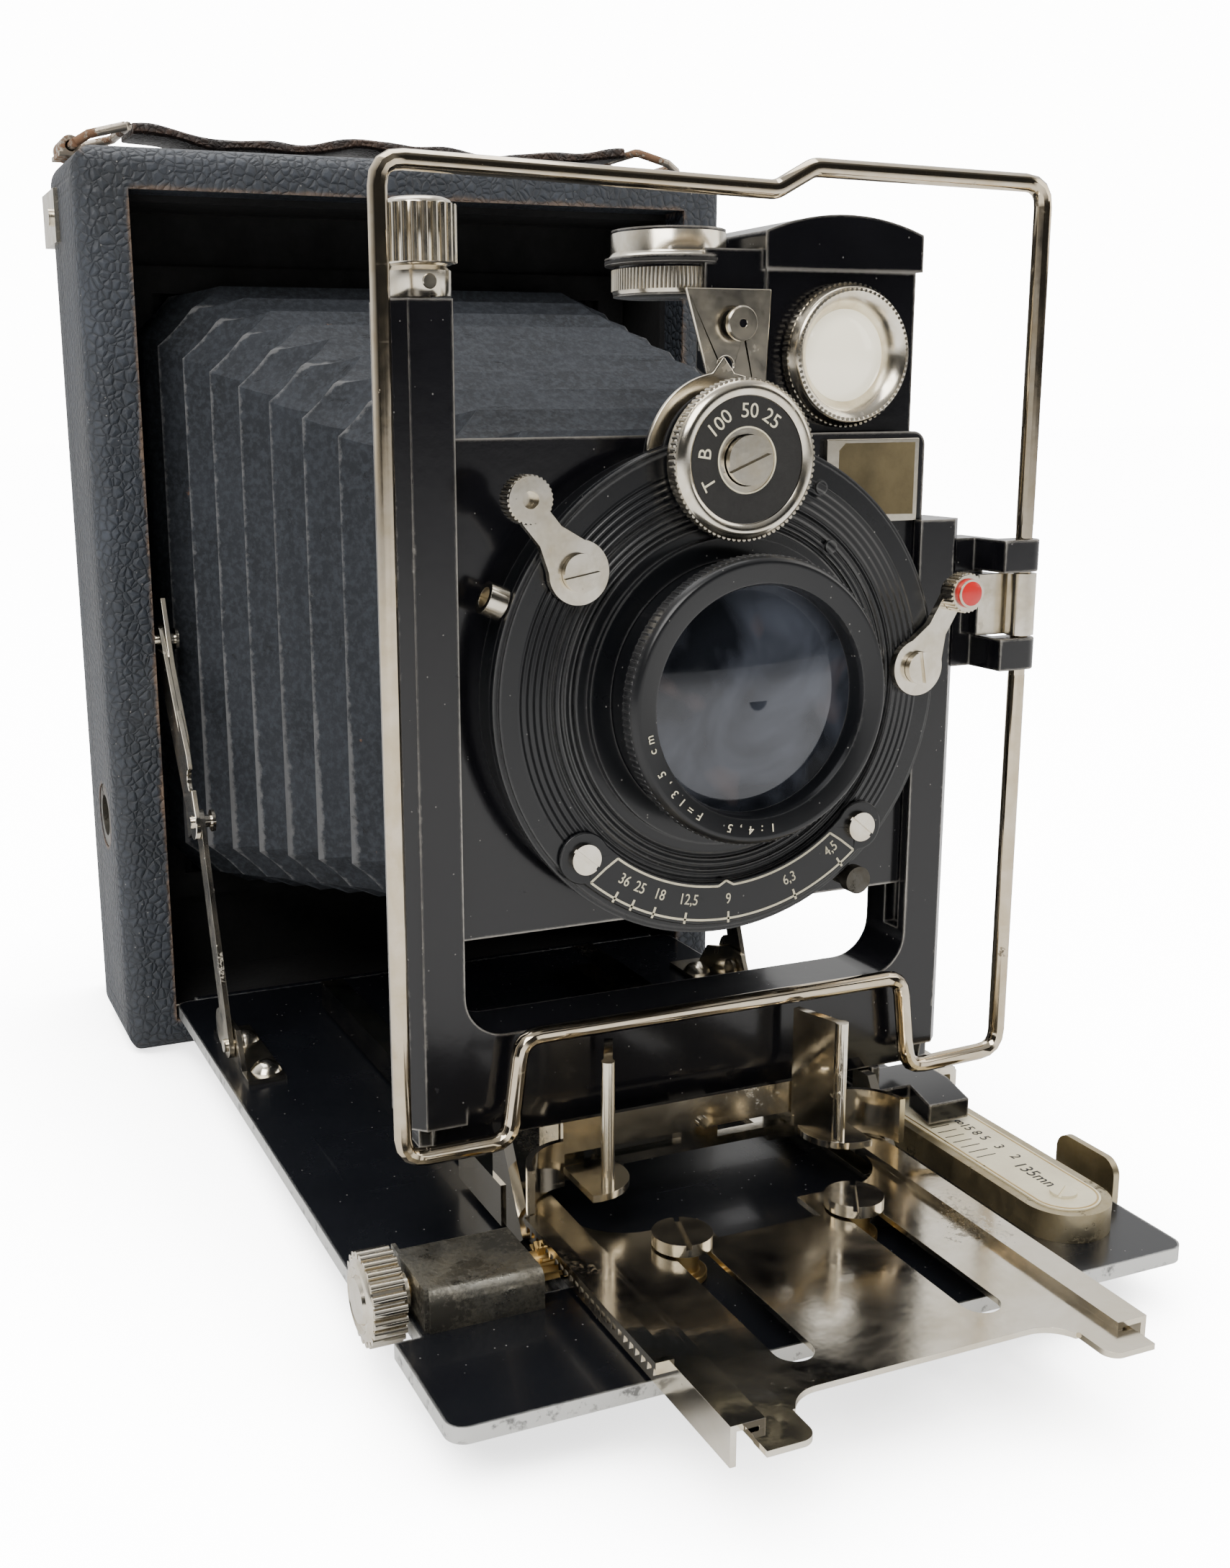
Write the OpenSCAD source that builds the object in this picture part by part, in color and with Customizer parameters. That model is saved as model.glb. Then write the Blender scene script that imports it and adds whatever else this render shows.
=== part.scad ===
// Folding plate camera with a drop bed, opened, standing on the base of its body.
// Origin: centre of the body's base. +Z is up, the lens faces -Y, +X is to the right seen from the front.

/* [Body] */
// Width of the body across its rounded rim
body_w = 128; // [124:1:136]
// Height of the body
body_h = 167.5; // [166:0.5:172]
// Depth of the body with its back frame
body_d = 46; // [44:1:52]
// Depth of the leather covered shell alone
shell_d = 28; // [28:1:32]
// Radius of the shell's rounded edges
edge_r = 4.5; // [3:0.5:6]
// Width of the front opening
open_w = 109.5; // [109.5:0.5:112]
// Height of the top of the front opening
open_top = 160; // [158:0.5:161]

/* [Bed and rails] */
// Height of the bed's upper face above the base
bed_top = 8.7; // [8.5:0.1:9]
// Thickness of the bed plate
bed_t = 2.2; // [1.8:0.1:2.4]
// Width of the bed plate
bed_w = 108.4; // [107:0.2:108.6]
// Reach of the bed in front of the body
bed_len = 152.7; // [150:0.1:156]
// Width over the two folded rails
rail_w = 57.7; // [57:0.1:58]
// Reach of the rail horns in front of the body
rail_reach = 176; // [175:1:178]

/* [Front standard] */
// Distance of the standard's front face from the body's front
stand_reach = 110; // [109:0.5:111]
// Outer width of the U frame
frame_w = 86.5; // [86:0.1:87]
// Height of the long left arm
long_arm_h = 135.5; // [134:0.5:136]
// Height of the short right arm
short_arm_h = 106; // [104:0.5:108]
// Height of the lens axis
lens_z = 84.4; // [84:0.1:85]
// Sideways shift of the lens from the centre of the board
lens_x = 1; // [0.5:0.1:1.5]

/* [Shutter and lens] */
// Radius of the shutter's front cover
shutter_r = 34; // [33:0.5:34.5]
// Radius of the knurled lens ring
lens_ring_r = 19.4; // [19:0.1:19.8]
// Clear radius of the front glass
glass_r = 15.2; // [15:0.1:15.6]
// Radius of the speed dial
dial_r = 10.6; // [10:0.1:10.8]

/* [Hidden] */
$fn = 64;

front_y = -body_d / 2;
shell_back_y = front_y + shell_d;
back_y = body_d / 2;
stand_y = front_y - stand_reach;
gap = 0.3;
half_open = open_w / 2;
half_rail = rail_w / 2;
half_frame = frame_w / 2;
arm_w = 7.7;
arm_d = 10;
frame_bottom = 22.5;
frame_base_top = 38;
board_y = stand_y + 2;
board_t = 3;
board_half_w = 37;
board_z0 = 51.5;
board_z1 = 118.5;
shutter_front_y = board_y - 7.6;
ring_front_y = shutter_front_y - 10;
pinion_y = front_y - 125.1;
pinion_z = 11.4;
rack_module = 0.5;
pinion_teeth = 9;
pinion_pitch_r = rack_module * pinion_teeth / 2;
plate_z = 12.4;
plate_t = 0.8;
rail_screw_x = 13.5;
rail_screw_y = front_y - 131.8;
slot_r = 2.6;
slot_travel = 28;
dial_x = 0.8;
dial_z = lens_z + 31;
setting_pivot = [-21.7, 101.7];
release_pivot = [30.9, 86];
finder_pivot = [6, 133];
finder_y = board_y + board_t + gap;
wire_r = 1.25;
hinge_pin_r = 1.2;
wire_y = stand_y - 3;
wire_hinge_x = 51.5;
rise_x = -37.3;
rise_y = stand_y + 6.5;
strut_x = 52.4;

// ---- helpers ----

// Block between two corners
module block(x, y, z) {
    translate([x[0], y[0], z[0]]) cube([x[1] - x[0], y[1] - y[0], z[1] - z[0]]);
}

// Cylinder along Y between two planes, centred on a point of the XZ plane
module disc_y(x, z, r, y0, y1, sides = 64) {
    translate([x, y1, z]) rotate([90, 0, 0]) cylinder(r = r, h = y1 - y0, $fn = sides);
}

// Cylinder along X between two planes, centred on a point of the YZ plane
module disc_x(y, z, r, x0, x1, sides = 48) {
    translate([x0, y, z]) rotate([0, 90, 0]) cylinder(r = r, h = x1 - x0, $fn = sides);
}

// Square with exact round corners, from corner a to corner b
module round_square(a, b, r) {
    translate([a[0] + r, a[1]]) square([b[0] - a[0] - 2 * r, b[1] - a[1]]);
    translate([a[0], a[1] + r]) square([b[0] - a[0], b[1] - a[1] - 2 * r]);
    for (x = [a[0] + r, b[0] - r], y = [a[1] + r, b[1] - r]) translate([x, y]) circle(r = r);
}

// Extrude an outline drawn in X and Z along Y, from y0 to y1
module along_y(y0, y1) {
    translate([0, y1, 0]) rotate([90, 0, 0]) linear_extrude(y1 - y0) children();
}

// Extrude an outline drawn in Y and Z along X, from x0 to x1
module along_x(x0, x1) {
    translate([x0, 0, 0]) rotate([90, 0, 90]) linear_extrude(x1 - x0) children();
}

// Extrude an outline drawn in X and Y along Z, from z0 to z1
module along_z(z0, z1) {
    translate([0, 0, z0]) linear_extrude(z1 - z0) children();
}

// Slotted cheese-head screw seen from -Y, its head's front at y0
module screw_y(x, z, r, y0, head_t, shank_r, y1, turn = 0) {
    difference() {
        union() {
            disc_y(x, z, r, y0, y0 + head_t, 32);
            disc_y(x, z, shank_r, y0 + head_t, y1, 24);
        }
        translate([x, y0, z]) rotate([0, turn, 0])
            cube([3 * r, head_t, r / 4], center = true);
    }
}

// Part of a flat ring on the lens axis, between two angles in degrees
module ring_sector(r0, r1, a0, a1) {
    steps = 24;
    outer = [for (i = [0:steps]) let (a = a0 + (a1 - a0) * i / steps) [r1 * cos(a), r1 * sin(a)]];
    inner = [for (i = [steps:-1:0]) let (a = a0 + (a1 - a0) * i / steps) [r0 * cos(a), r0 * sin(a)]];
    polygon(concat(outer, inner));
}

// Copy on the right and on the left
module both_sides() {
    for (s = [0, 1]) mirror([s, 0, 0]) children();
}

// Closed tube swept along points, with a round section of six to twelve sides
function unit(v) = v / norm(v);
function tangent(p, i) = unit(p[min(i + 1, len(p) - 1)] - p[max(i - 1, 0)]);
function ring_at(p, i, r, sides) =
    let (t = tangent(p, i), u = unit(cross(t, abs(t[1]) > 0.9 ? [1, 0, 0] : [0, 1, 0])), v = cross(t, u))
    [for (k = [0:sides - 1]) p[i] + r * (cos(360 * k / sides) * u + sin(360 * k / sides) * v)];
module sweep(p, r, sides = 8) {
    n = len(p);
    points = [for (i = [0:n - 1]) each ring_at(p, i, r, sides)];
    walls = [for (i = [0:n - 2], k = [0:sides - 1]) let (a = i * sides, m = (k + 1) % sides)
        [a + k, a + sides + k, a + sides + m, a + m]];
    first = [for (k = [0:sides - 1]) k];
    last = [for (k = [sides - 1:-1:0]) (n - 1) * sides + k];
    polyhedron(points, concat([first], walls, [last]));
}

// ---- body ----

module body_shell() {
    color([0.16, 0.18, 0.21]) difference() {
        intersection() {
            along_y(front_y, shell_back_y) round_square([-body_w / 2, 0], [body_w / 2, body_h], edge_r);
            along_z(0, body_h) {
                round_square([-body_w / 2, front_y], [body_w / 2, back_y + edge_r], edge_r);
            }
            along_x(-body_w / 2, body_w / 2) {
                round_square([front_y, 0], [back_y + edge_r, body_h], edge_r);
            }
        }
        block([-half_open, half_open], [front_y - 1, shell_back_y + 1], [bed_top - bed_t - gap, open_top]);
        disc_x(front_y + 13, 45.5, 6.2, -body_w / 2 - 1, -half_open + 1);
    }
}

module inner_box() {
    wall = 1.2;
    color([0.05, 0.05, 0.06]) difference() {
        block([-half_open, half_open], [front_y + 8, shell_back_y], [bed_top - bed_t - gap, open_top]);
        block([-half_open + wall, half_open - wall], [front_y + 7, shell_back_y - 2],
            [bed_top - bed_t - gap + wall, open_top - wall]);
        block([-45, 45], [shell_back_y - 3, shell_back_y + 1], [25, 148]);
        disc_x(front_y + 13, 45.5, 6.2, -half_open - 1, -half_open + 2);
    }
}

module back_frame() {
    half = body_w / 2 - 2.5;
    color([0.13, 0.14, 0.16]) difference() {
        along_y(shell_back_y, back_y) round_square([-half, 1.5], [half, body_h - 1.5], 3);
        block([-46, 46], [shell_back_y - 1, back_y + 1], [26, 147]);
        block([-52.5, 52.5], [back_y - 10.5, back_y - 4], [18, body_h + 1]);
        block([-49.5, 49.5], [back_y - 5, back_y + 1], [18, body_h + 1]);
    }
}

module back_latch() {
    color([0.78, 0.77, 0.73]) {
        block([-body_w / 2 - 0.8, -body_w / 2], [shell_back_y - 8, shell_back_y + 7], [152.5, 162]);
        difference() {
            block([-body_w / 2, -body_w / 2 + 2.5], [shell_back_y + 0.2, shell_back_y + 7], [152.5, 162]);
            block([-body_w / 2 + 2.4, -body_w / 2 + 3], [shell_back_y, shell_back_y + 8], [152, 163]);
        }
        disc_x(shell_back_y - 4, 157.2, 1.6, -body_w / 2 - 1.5, -body_w / 2 - 0.8, 24);
    }
}

module side_bush() {
    color([0.62, 0.58, 0.46]) difference() {
        disc_x(front_y + 13, 45.5, 6, -body_w / 2 + 0.2, -half_open + 1.2);
        disc_x(front_y + 13, 45.5, 4, -body_w / 2 - 1, -half_open - 1);
    }
}

module bed_bush() {
    color([0.62, 0.58, 0.46]) translate([0, front_y - 60, bed_top - bed_t - 4.5]) difference() {
        union() {
            cylinder(r = 7, h = 4.5);
            cylinder(r = 5.6, h = 6.2);
        }
        translate([0, 0, -1]) cylinder(r = 4, h = 6.4);
    }
}

// ---- handle ----

strap_y = 1;
strap_route = [[-50, 1, 171.8], [-44, 1, 172.6], [-36, 1.4, 172.4], [-26, 0.8, 171.6], [-16, 1, 170.9],
    [-6, 1.3, 171.2], [5, 1, 172], [16, 0.7, 171.6], [27, 1, 171.8], [38, 1.2, 172.6], [50, 1, 172.4]];

module handle_strap() {
    half_w = 7.5;
    half_t = 1.2;
    n = len(strap_route);
    corners = [[-half_w, -half_t], [half_w, -half_t], [half_w, half_t], [-half_w, half_t]];
    points = [for (p = strap_route, c = corners) [p[0], p[1] + c[0], p[2] + c[1]]];
    walls = [for (i = [0:n - 2], k = [0:3]) let (a = 4 * i, m = (k + 1) % 4)
        [a + k, a + 4 + k, a + 4 + m, a + m]];
    color([0.17, 0.11, 0.08])
        polyhedron(points, concat([[0, 1, 2, 3]], walls, [[4 * n - 1, 4 * n - 2, 4 * n - 3, 4 * n - 4]]));
}

module handle_loops() {
    color([0.42, 0.29, 0.2]) both_sides() {
        for (s = [-1, 1]) {
            sweep([[60.5, strap_y + 8.6 * s, 169.6], [58, strap_y + 9 * s, 171],
                [54, strap_y + 9 * s, 172.4], [51.6, strap_y + 9 * s, 172.6]], 0.9);
        }
        translate([51.6, strap_y - 9.8, 172.6]) rotate([-90, 0, 0]) cylinder(r = 0.8, h = 19.6, $fn = 24);
        translate([61.2, strap_y - 9.2, 169.3]) rotate([-90, 0, 0]) cylinder(r = 0.9, h = 18.4, $fn = 24);
    }
}

module handle_lugs() {
    color([0.5, 0.4, 0.3]) both_sides() difference() {
        union() {
            block([58.2, 63.4], [strap_y - 5, strap_y + 5], [body_h, body_h + 0.9]);
            translate([61.2, strap_y - 5, 169.3]) rotate([-90, 0, 0]) cylinder(r = 1.9, h = 10, $fn = 32);
        }
        translate([61.2, strap_y - 6, 169.3]) rotate([-90, 0, 0]) cylinder(r = 0.95, h = 12, $fn = 32);
    }
}

// ---- bed ----

module bed() {
    z0 = bed_top - bed_t;
    half = bed_w / 2;
    color([0.06, 0.06, 0.07]) difference() {
        union() {
            along_z(z0, bed_top) round_square([-half, front_y - bed_len], [half, front_y + 3], 2.5);
            along_x(-half + 4, half - 4) translate([front_y + 4, z0 + bed_t / 2]) circle(r = bed_t / 2 + 0.2);
            for (s = [-1, 1]) translate([s * (half - 1.1), 0, 0])
                block([-0.5, 0.5], [front_y - bed_len + 4, front_y - 20], [z0 - 0.9, z0]);
            block([-half + 3, half - 3], [front_y - bed_len + 1.4, front_y - bed_len + 2.4], [z0 - 0.9, z0]);
        }
        disc_x(front_y + 4, z0 + bed_t / 2, 0.75, -half - 1, half + 1, 24);
        translate([0, front_y - 60, z0 - 1]) cylinder(r = 5.6, h = 2.7);
        for (s = [-1, 1]) translate([s * rail_screw_x, rail_screw_y, z0 - 2]) cylinder(r = 1.5, h = bed_t + 4);
        block([-33.5, -28.6], [pinion_y - 3.4, pinion_y + 3.4], [z0 + 0.8, bed_top + 1]);
        block([-half - 1, -50.7], [pinion_y - 7.1, pinion_y + 7.1], [z0 - 2, bed_top + 1]);
    }
}

module bed_hinge_pin() {
    z = bed_top - bed_t / 2;
    color([0.75, 0.74, 0.7]) disc_x(front_y + 4, z, 0.7, -half_open, half_open, 24);
}

// One strut, its knee pushed forward: [distance behind the body's front, height]
strut_top = [6, 80];
strut_knee = [-18.5, 50];
strut_foot = [-33, 12.4];

module strut_bar(a, b, w, x0, x1) {
    d = b - a;
    len = norm(d);
    angle = atan2(d[1], d[0]);
    along_x(x0, x1) translate([front_y + a[0], a[1]]) rotate(angle) {
        translate([0, -w / 2]) square([len, w]);
        circle(r = w / 2);
        translate([len, 0]) circle(r = w / 2);
    }
}

module strut_upper_links() {
    color([0.76, 0.74, 0.68]) both_sides() {
        difference() {
            union() {
                strut_bar(strut_top, strut_knee, 6.5, strut_x, strut_x + 0.9);
                along_x(strut_x, strut_x + 0.9) translate([front_y, 0])
                    polygon([[-9.5, 69], [-16, 62], [-22, 50], [-14, 46]]);
            }
            disc_x(front_y + strut_top[0], strut_top[1], 1.2, strut_x - 1, strut_x + 2, 24);
            disc_x(front_y + strut_knee[0], strut_knee[1], 1.2, strut_x - 1, strut_x + 2, 24);
            disc_x(front_y - 17.6, 57.4, 2, strut_x - 1, strut_x + 2, 32);
        }
        difference() {
            along_x(strut_x - 1, strut_x) translate([front_y, 0])
                polygon([[5, 88], [6.4, 80], [-2, 69], [-11.5, 60.5], [-10.4, 64], [-1, 76]]);
            disc_x(front_y + strut_top[0], strut_top[1], 1.2, strut_x - 2, strut_x + 1, 24);
        }
    }
}

module strut_lower_links() {
    color([0.76, 0.74, 0.68]) both_sides() difference() {
        union() {
            strut_bar(strut_knee, strut_foot, 4.6, strut_x - 1, strut_x - 0.1);
            along_x(strut_x - 1, strut_x - 0.1) translate([front_y + strut_foot[0] + 4.5, strut_foot[1] + 2])
                circle(r = 3.4);
        }
        disc_x(front_y + strut_knee[0], strut_knee[1], 1.2, strut_x - 2, strut_x + 1, 24);
        disc_x(front_y + strut_foot[0], strut_foot[1], 1.2, strut_x - 2, strut_x + 1, 24);
    }
}

module strut_brackets() {
    color([0.72, 0.69, 0.6]) both_sides() difference() {
        union() {
            block([strut_x - 8, strut_x - 1.2], [front_y - 44, front_y - 17], [bed_top, bed_top + 0.9]);
            along_x(strut_x - 2.1, strut_x - 1.2) translate([front_y, 0])
                polygon([[-40, bed_top], [-18, bed_top], [-22, 14], [-30, 16], [-36, 16]]);
            for (y = [-24, -40]) translate([strut_x - 5.4, front_y + y, bed_top + 0.9])
                intersection() {
                    translate([0, 0, -1.2]) sphere(r = 3);
                    cylinder(r = 3, h = 3);
                }
        }
        disc_x(front_y + strut_foot[0], strut_foot[1], 1.2, strut_x - 3, strut_x + 1, 24);
    }
}

module strut_pins() {
    color([0.78, 0.76, 0.7]) both_sides() {
        for (p = [[strut_top, half_open], [strut_knee, strut_x + 1.4], [strut_foot, strut_x + 0.5]])
            disc_x(front_y + p[0][0], p[0][1], 1.15, strut_x - 2.4, p[1], 24);
        for (p = [strut_top, strut_knee, strut_foot])
            disc_x(front_y + p[0], p[1], 2, strut_x - 3, strut_x - 2.4, 32);
    }
}

module focus_housing() {
    color([0.74, 0.72, 0.66]) difference() {
        union() {
            along_x(-49.3, -33.6) translate([pinion_y, 0]) {
                round_square([-7.1, 9.6], [7.1, 14.1], 1.7);
                translate([-7.1, bed_top]) square([14.2, 3]);
            }
            block([-49.9, -49.3], [pinion_y - 6.6, pinion_y + 6.6], [bed_top, 14.7]);
        }
        disc_x(pinion_y, pinion_z, 1.55, -52, -33, 32);
    }
}

scale_x = 43.1;
scale_y0 = front_y - 140;
scale_y1 = front_y - 101.5;

module scale_outline(r) {
    translate([scale_x - r, scale_y0]) square([2 * r, scale_y1 - scale_y0]);
    for (y = [scale_y0, scale_y1]) translate([scale_x, y]) circle(r = r);
}

module scale_base() {
    color([0.66, 0.62, 0.52]) difference() {
        along_z(bed_top, 12.9) scale_outline(6.6);
        along_z(12.3, 14) scale_outline(5.1);
    }
}

module scale_plate() {
    color([0.9, 0.85, 0.68]) along_z(12.3, 13.1) scale_outline(5.1);
    color([0.78, 0.76, 0.7]) for (y = [scale_y0, scale_y1]) translate([scale_x, y, 13.1]) difference() {
        cylinder(r = 1.9, h = 0.45, $fn = 32);
        translate([0, 0, 0.45]) rotate(35) cube([5, 0.5, 0.5], center = true);
    }
}

module rail_screws() {
    color([0.8, 0.78, 0.72]) for (s = [-1, 1]) translate([s * rail_screw_x, rail_screw_y, 0]) difference() {
        union() {
            translate([0, 0, bed_top - bed_t - 1]) cylinder(r = 1.45, h = plate_z + plate_t + 1.6 - bed_top + bed_t);
            translate([0, 0, plate_z + plate_t + 0.3]) cylinder(r = 4.1, h = 1.7);
        }
        translate([0, 0, plate_z + plate_t + 2]) rotate(s > 0 ? 60 : 75) cube([9, 0.8, 1.4], center = true);
    }
}

module rail_washers() {
    color([0.68, 0.53, 0.26]) for (s = [-1, 1]) translate([s * rail_screw_x, rail_screw_y, bed_top]) difference() {
        union() {
            cylinder(r = 3.4, h = 1.2);
            cylinder(r = 2.3, h = plate_z + plate_t + 0.3 - bed_top);
        }
        translate([0, 0, -1]) cylinder(r = 1.5, h = 8);
    }
}

module bed_lock_lever() {
    z0 = bed_top - bed_t - 2.2;
    color([0.72, 0.66, 0.5]) {
        along_z(z0, z0 + 1) {
            translate([46, front_y - 137]) round_square([0, 0], [9.9, 14.5], 2.5);
        }
        along_x(54.9, 56) translate([front_y - 129.5, 0]) round_square([-7.5, z0], [5, 14.2], 2.5);
        translate([50, front_y - 125.5, z0 - 0.6]) cylinder(r = 2.4, h = 0.6, $fn = 32);
    }
}

// ---- bellows ----

bellows_y1 = shell_back_y - 4.5;
bellows_y0 = board_y + board_t + 1.5;
bellows_folds = 10;

// Half width, half height and centre height of the bellows, t from 0 at the back to 1 at the front
function bellows_half_w(t) = 51 - 19 * t;
function bellows_half_h(t) = 60 - 27 * t;
function bellows_mid(t) = 86.5 - 1.8 * t;
function bellows_ring(i, wall) =
    let (n = 2 * bellows_folds, t = i / n, d = (i % 2 == 0 ? 0 : -3.4) - wall,
        w = bellows_half_w(t) + d, h = bellows_half_h(t) + d, c = 9 - 3 * t, m = bellows_mid(t),
        y = bellows_y1 + (bellows_y0 - bellows_y1) * t)
    [for (p = [[w, h - c], [w - c, h], [c - w, h], [-w, h - c], [-w, c - h], [c - w, -h], [w - c, -h], [w, c - h]])
        [p[0], y, m + p[1]]];

module bellows() {
    n = 2 * bellows_folds;
    points = concat([for (i = [0:n]) each bellows_ring(i, 0)], [for (i = [0:n]) each bellows_ring(i, 1)]);
    inner = 8 * (n + 1);
    skin = [for (i = [0:n - 1], k = [0:7]) let (a = 8 * i, m = (k + 1) % 8) [a + k, a + m, a + 8 + m, a + 8 + k]];
    lining = [for (i = [0:n - 1], k = [0:7]) let (a = inner + 8 * i, m = (k + 1) % 8)
        [a + m, a + k, a + 8 + k, a + 8 + m]];
    rear = [for (k = [0:7]) let (m = (k + 1) % 8) [m, k, inner + k, inner + m]];
    front = [for (k = [0:7]) let (m = (k + 1) % 8, a = 8 * n) [a + k, a + m, inner + a + m, inner + a + k]];
    color([0.2, 0.21, 0.23]) polyhedron(points, concat(skin, lining, rear, front));
}

module bellows_rear_frame() {
    color([0.08, 0.08, 0.09]) difference() {
        block([-52.8, 52.8], [shell_back_y - 4.2, shell_back_y - 2], [24, 149]);
        block([-47, 47], [shell_back_y - 5, shell_back_y], [29, 144]);
    }
}

// ---- rails ----

module rail_plate() {
    edge_y = front_y - 167.4;
    tail_y = front_y - 12;
    horn_y = front_y - rail_reach;
    color([0.76, 0.74, 0.68]) difference() {
        union() {
            along_z(plate_z, plate_z + plate_t) difference() {
                union() {
                    translate([-half_rail + 1, edge_y]) square([rail_w - 2, 50]);
                    both_sides() {
                        translate([20, horn_y + 2]) square([6.5, 14]);
                        translate([22, horn_y + 2]) circle(r = 2);
                        translate([22, horn_y]) square([4.6, 3]);
                        translate([15, edge_y - 3]) square([7, 4]);
                    }
                }
                both_sides() translate([15, edge_y - 5]) circle(r = 5);
                translate([-8, edge_y + 35.5]) square([16, 20]);
                both_sides() translate([15.5, edge_y + 50]) circle(r = 9);
                both_sides() translate([7, edge_y + 41.5]) square([9, 12]);
                both_sides() translate([rail_screw_x - slot_r, rail_screw_y - slot_travel])
                    square([2 * slot_r, slot_travel]);
                both_sides() for (y = [rail_screw_y, rail_screw_y - slot_travel])
                    translate([rail_screw_x, y]) circle(r = slot_r);
            }
            both_sides() {
                block([half_rail - 0.8, half_rail], [horn_y + 4, tail_y], [9.2, 14.3]);
                block([half_rail - 4.4, half_rail - 0.8], [horn_y + 4, tail_y], [13.5, 14.3]);
                block([half_rail - 4.4, half_rail - 3.6], [horn_y + 4, tail_y - 40], [plate_z, 14.3]);
                block([half_rail - 4.4, half_rail - 0.8], [edge_y + 40, tail_y], [9.2, 10]);
            }
        }
        both_sides() translate([half_rail - 4.4, tail_y - 7, 8]) rotate(35) translate([-14, 0, 0]) cube([14, 14, 8]);
    }
}

// Straight rack, its teeth pointing down to the pinion
rack_pitch = PI * rack_module;
rack_teeth = 25;
rack_line_z = pinion_z + pinion_pitch_r;

module rack() {
    y0 = pinion_y - (rack_teeth - 3.5) * rack_pitch;
    color([0.66, 0.54, 0.3]) along_x(-half_rail - 2.4, -half_rail) {
        translate([y0, rack_line_z + 0.65]) square([rack_teeth * rack_pitch, 0.9]);
        for (i = [0:rack_teeth - 1]) translate([y0 + (i + 0.5) * rack_pitch, rack_line_z])
            polygon([[-0.34, 0.7], [-0.14, -0.42], [0.14, -0.42], [0.34, 0.7]]);
    }
}

module pinion_shaft() {
    color([0.66, 0.54, 0.3]) {
        difference() {
            disc_x(pinion_y, pinion_z, 1.5, -54.4, -half_rail - 0.2, 32);
            disc_x(pinion_y, pinion_z, 0.5, -56, -53.6, 24);
        }
        along_x(-half_rail - 3, -half_rail - 0.3) translate([pinion_y, pinion_z]) {
            circle(r = pinion_pitch_r - 0.7);
            for (i = [0:pinion_teeth - 1]) rotate(360 * i / pinion_teeth + 90 + 180 / pinion_teeth)
                polygon([[pinion_pitch_r - 0.8, -0.36], [pinion_pitch_r + 0.4, -0.14],
                    [pinion_pitch_r + 0.4, 0.14], [pinion_pitch_r - 0.8, 0.36]]);
        }
    }
}

module knurled_outline(r, teeth, depth) {
    polygon([for (i = [0:2 * teeth - 1]) let (a = 180 * i / teeth, q = r - (i % 2) * depth) [q * cos(a), q * sin(a)]]);
}

module focus_knob() {
    color([0.78, 0.76, 0.7]) {
        difference() {
            translate([-56.5, pinion_y, pinion_z]) rotate([0, 90, 0])
                linear_extrude(5) knurled_outline(6.3, 22, 0.8);
            disc_x(pinion_y, pinion_z, 1.5, -54.4, -50, 32);
        }
        difference() {
            disc_x(pinion_y, pinion_z, 5, -57.1, -56.5, 48);
            disc_x(pinion_y, pinion_z, 4.2, -58, -56.8, 48);
        }
        difference() {
            disc_x(pinion_y, pinion_z, 2.6, -51.6, -50.2, 32);
            disc_x(pinion_y, pinion_z, 1.5, -54.4, -50, 32);
        }
    }
}

// ---- front standard ----

module carriage() {
    y0 = stand_y - 1;
    y1 = stand_y + 16;
    top = 14.8;
    color([0.76, 0.74, 0.68]) {
        difference() {
            block([-31.2, 31.2], [y0, y1], [top, top + 1.2]);
            block([-12, 12], [y0 - 1, y0 + 6], [top - 1, top + 2]);
        }
        both_sides() {
            block([half_rail + 0.5, 31.2], [y0, y1], [9.8, top]);
            along_x(half_rail + 0.5, 30.8) translate([stand_y, 0])
                polygon([[-8, 11], [-7, 10.2], [3, 10.2], [3, 22.3], [-1, 22.3]]);
            block([17, 21], [stand_y + 2, stand_y + 9], [top + 1.2, frame_bottom]);
        }
        along_z(19.6, 24.4) translate([-22.2, stand_y - 2.4]) square([44.4, 0.9]);
        along_z(14.7, 21.6) translate([0, stand_y]) {
            both_sides() intersection() {
                translate([22, -9.9]) difference() {
                    circle(r = 8.4);
                    circle(r = 7.5);
                }
                translate([22, -9.4]) square([9, 9]);
            }
        }
        disc_y(0, 20.5, 0.9, stand_y - 2.9, stand_y - 2.4, 24);
        block([-3, 3], [stand_y - 1.6, stand_y + 1.2], [17, 22.4]);
        block([-24, 24], [stand_y - 1.6, stand_y + 0.4], [top + 1.2, 17.4]);
    }
}

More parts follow.
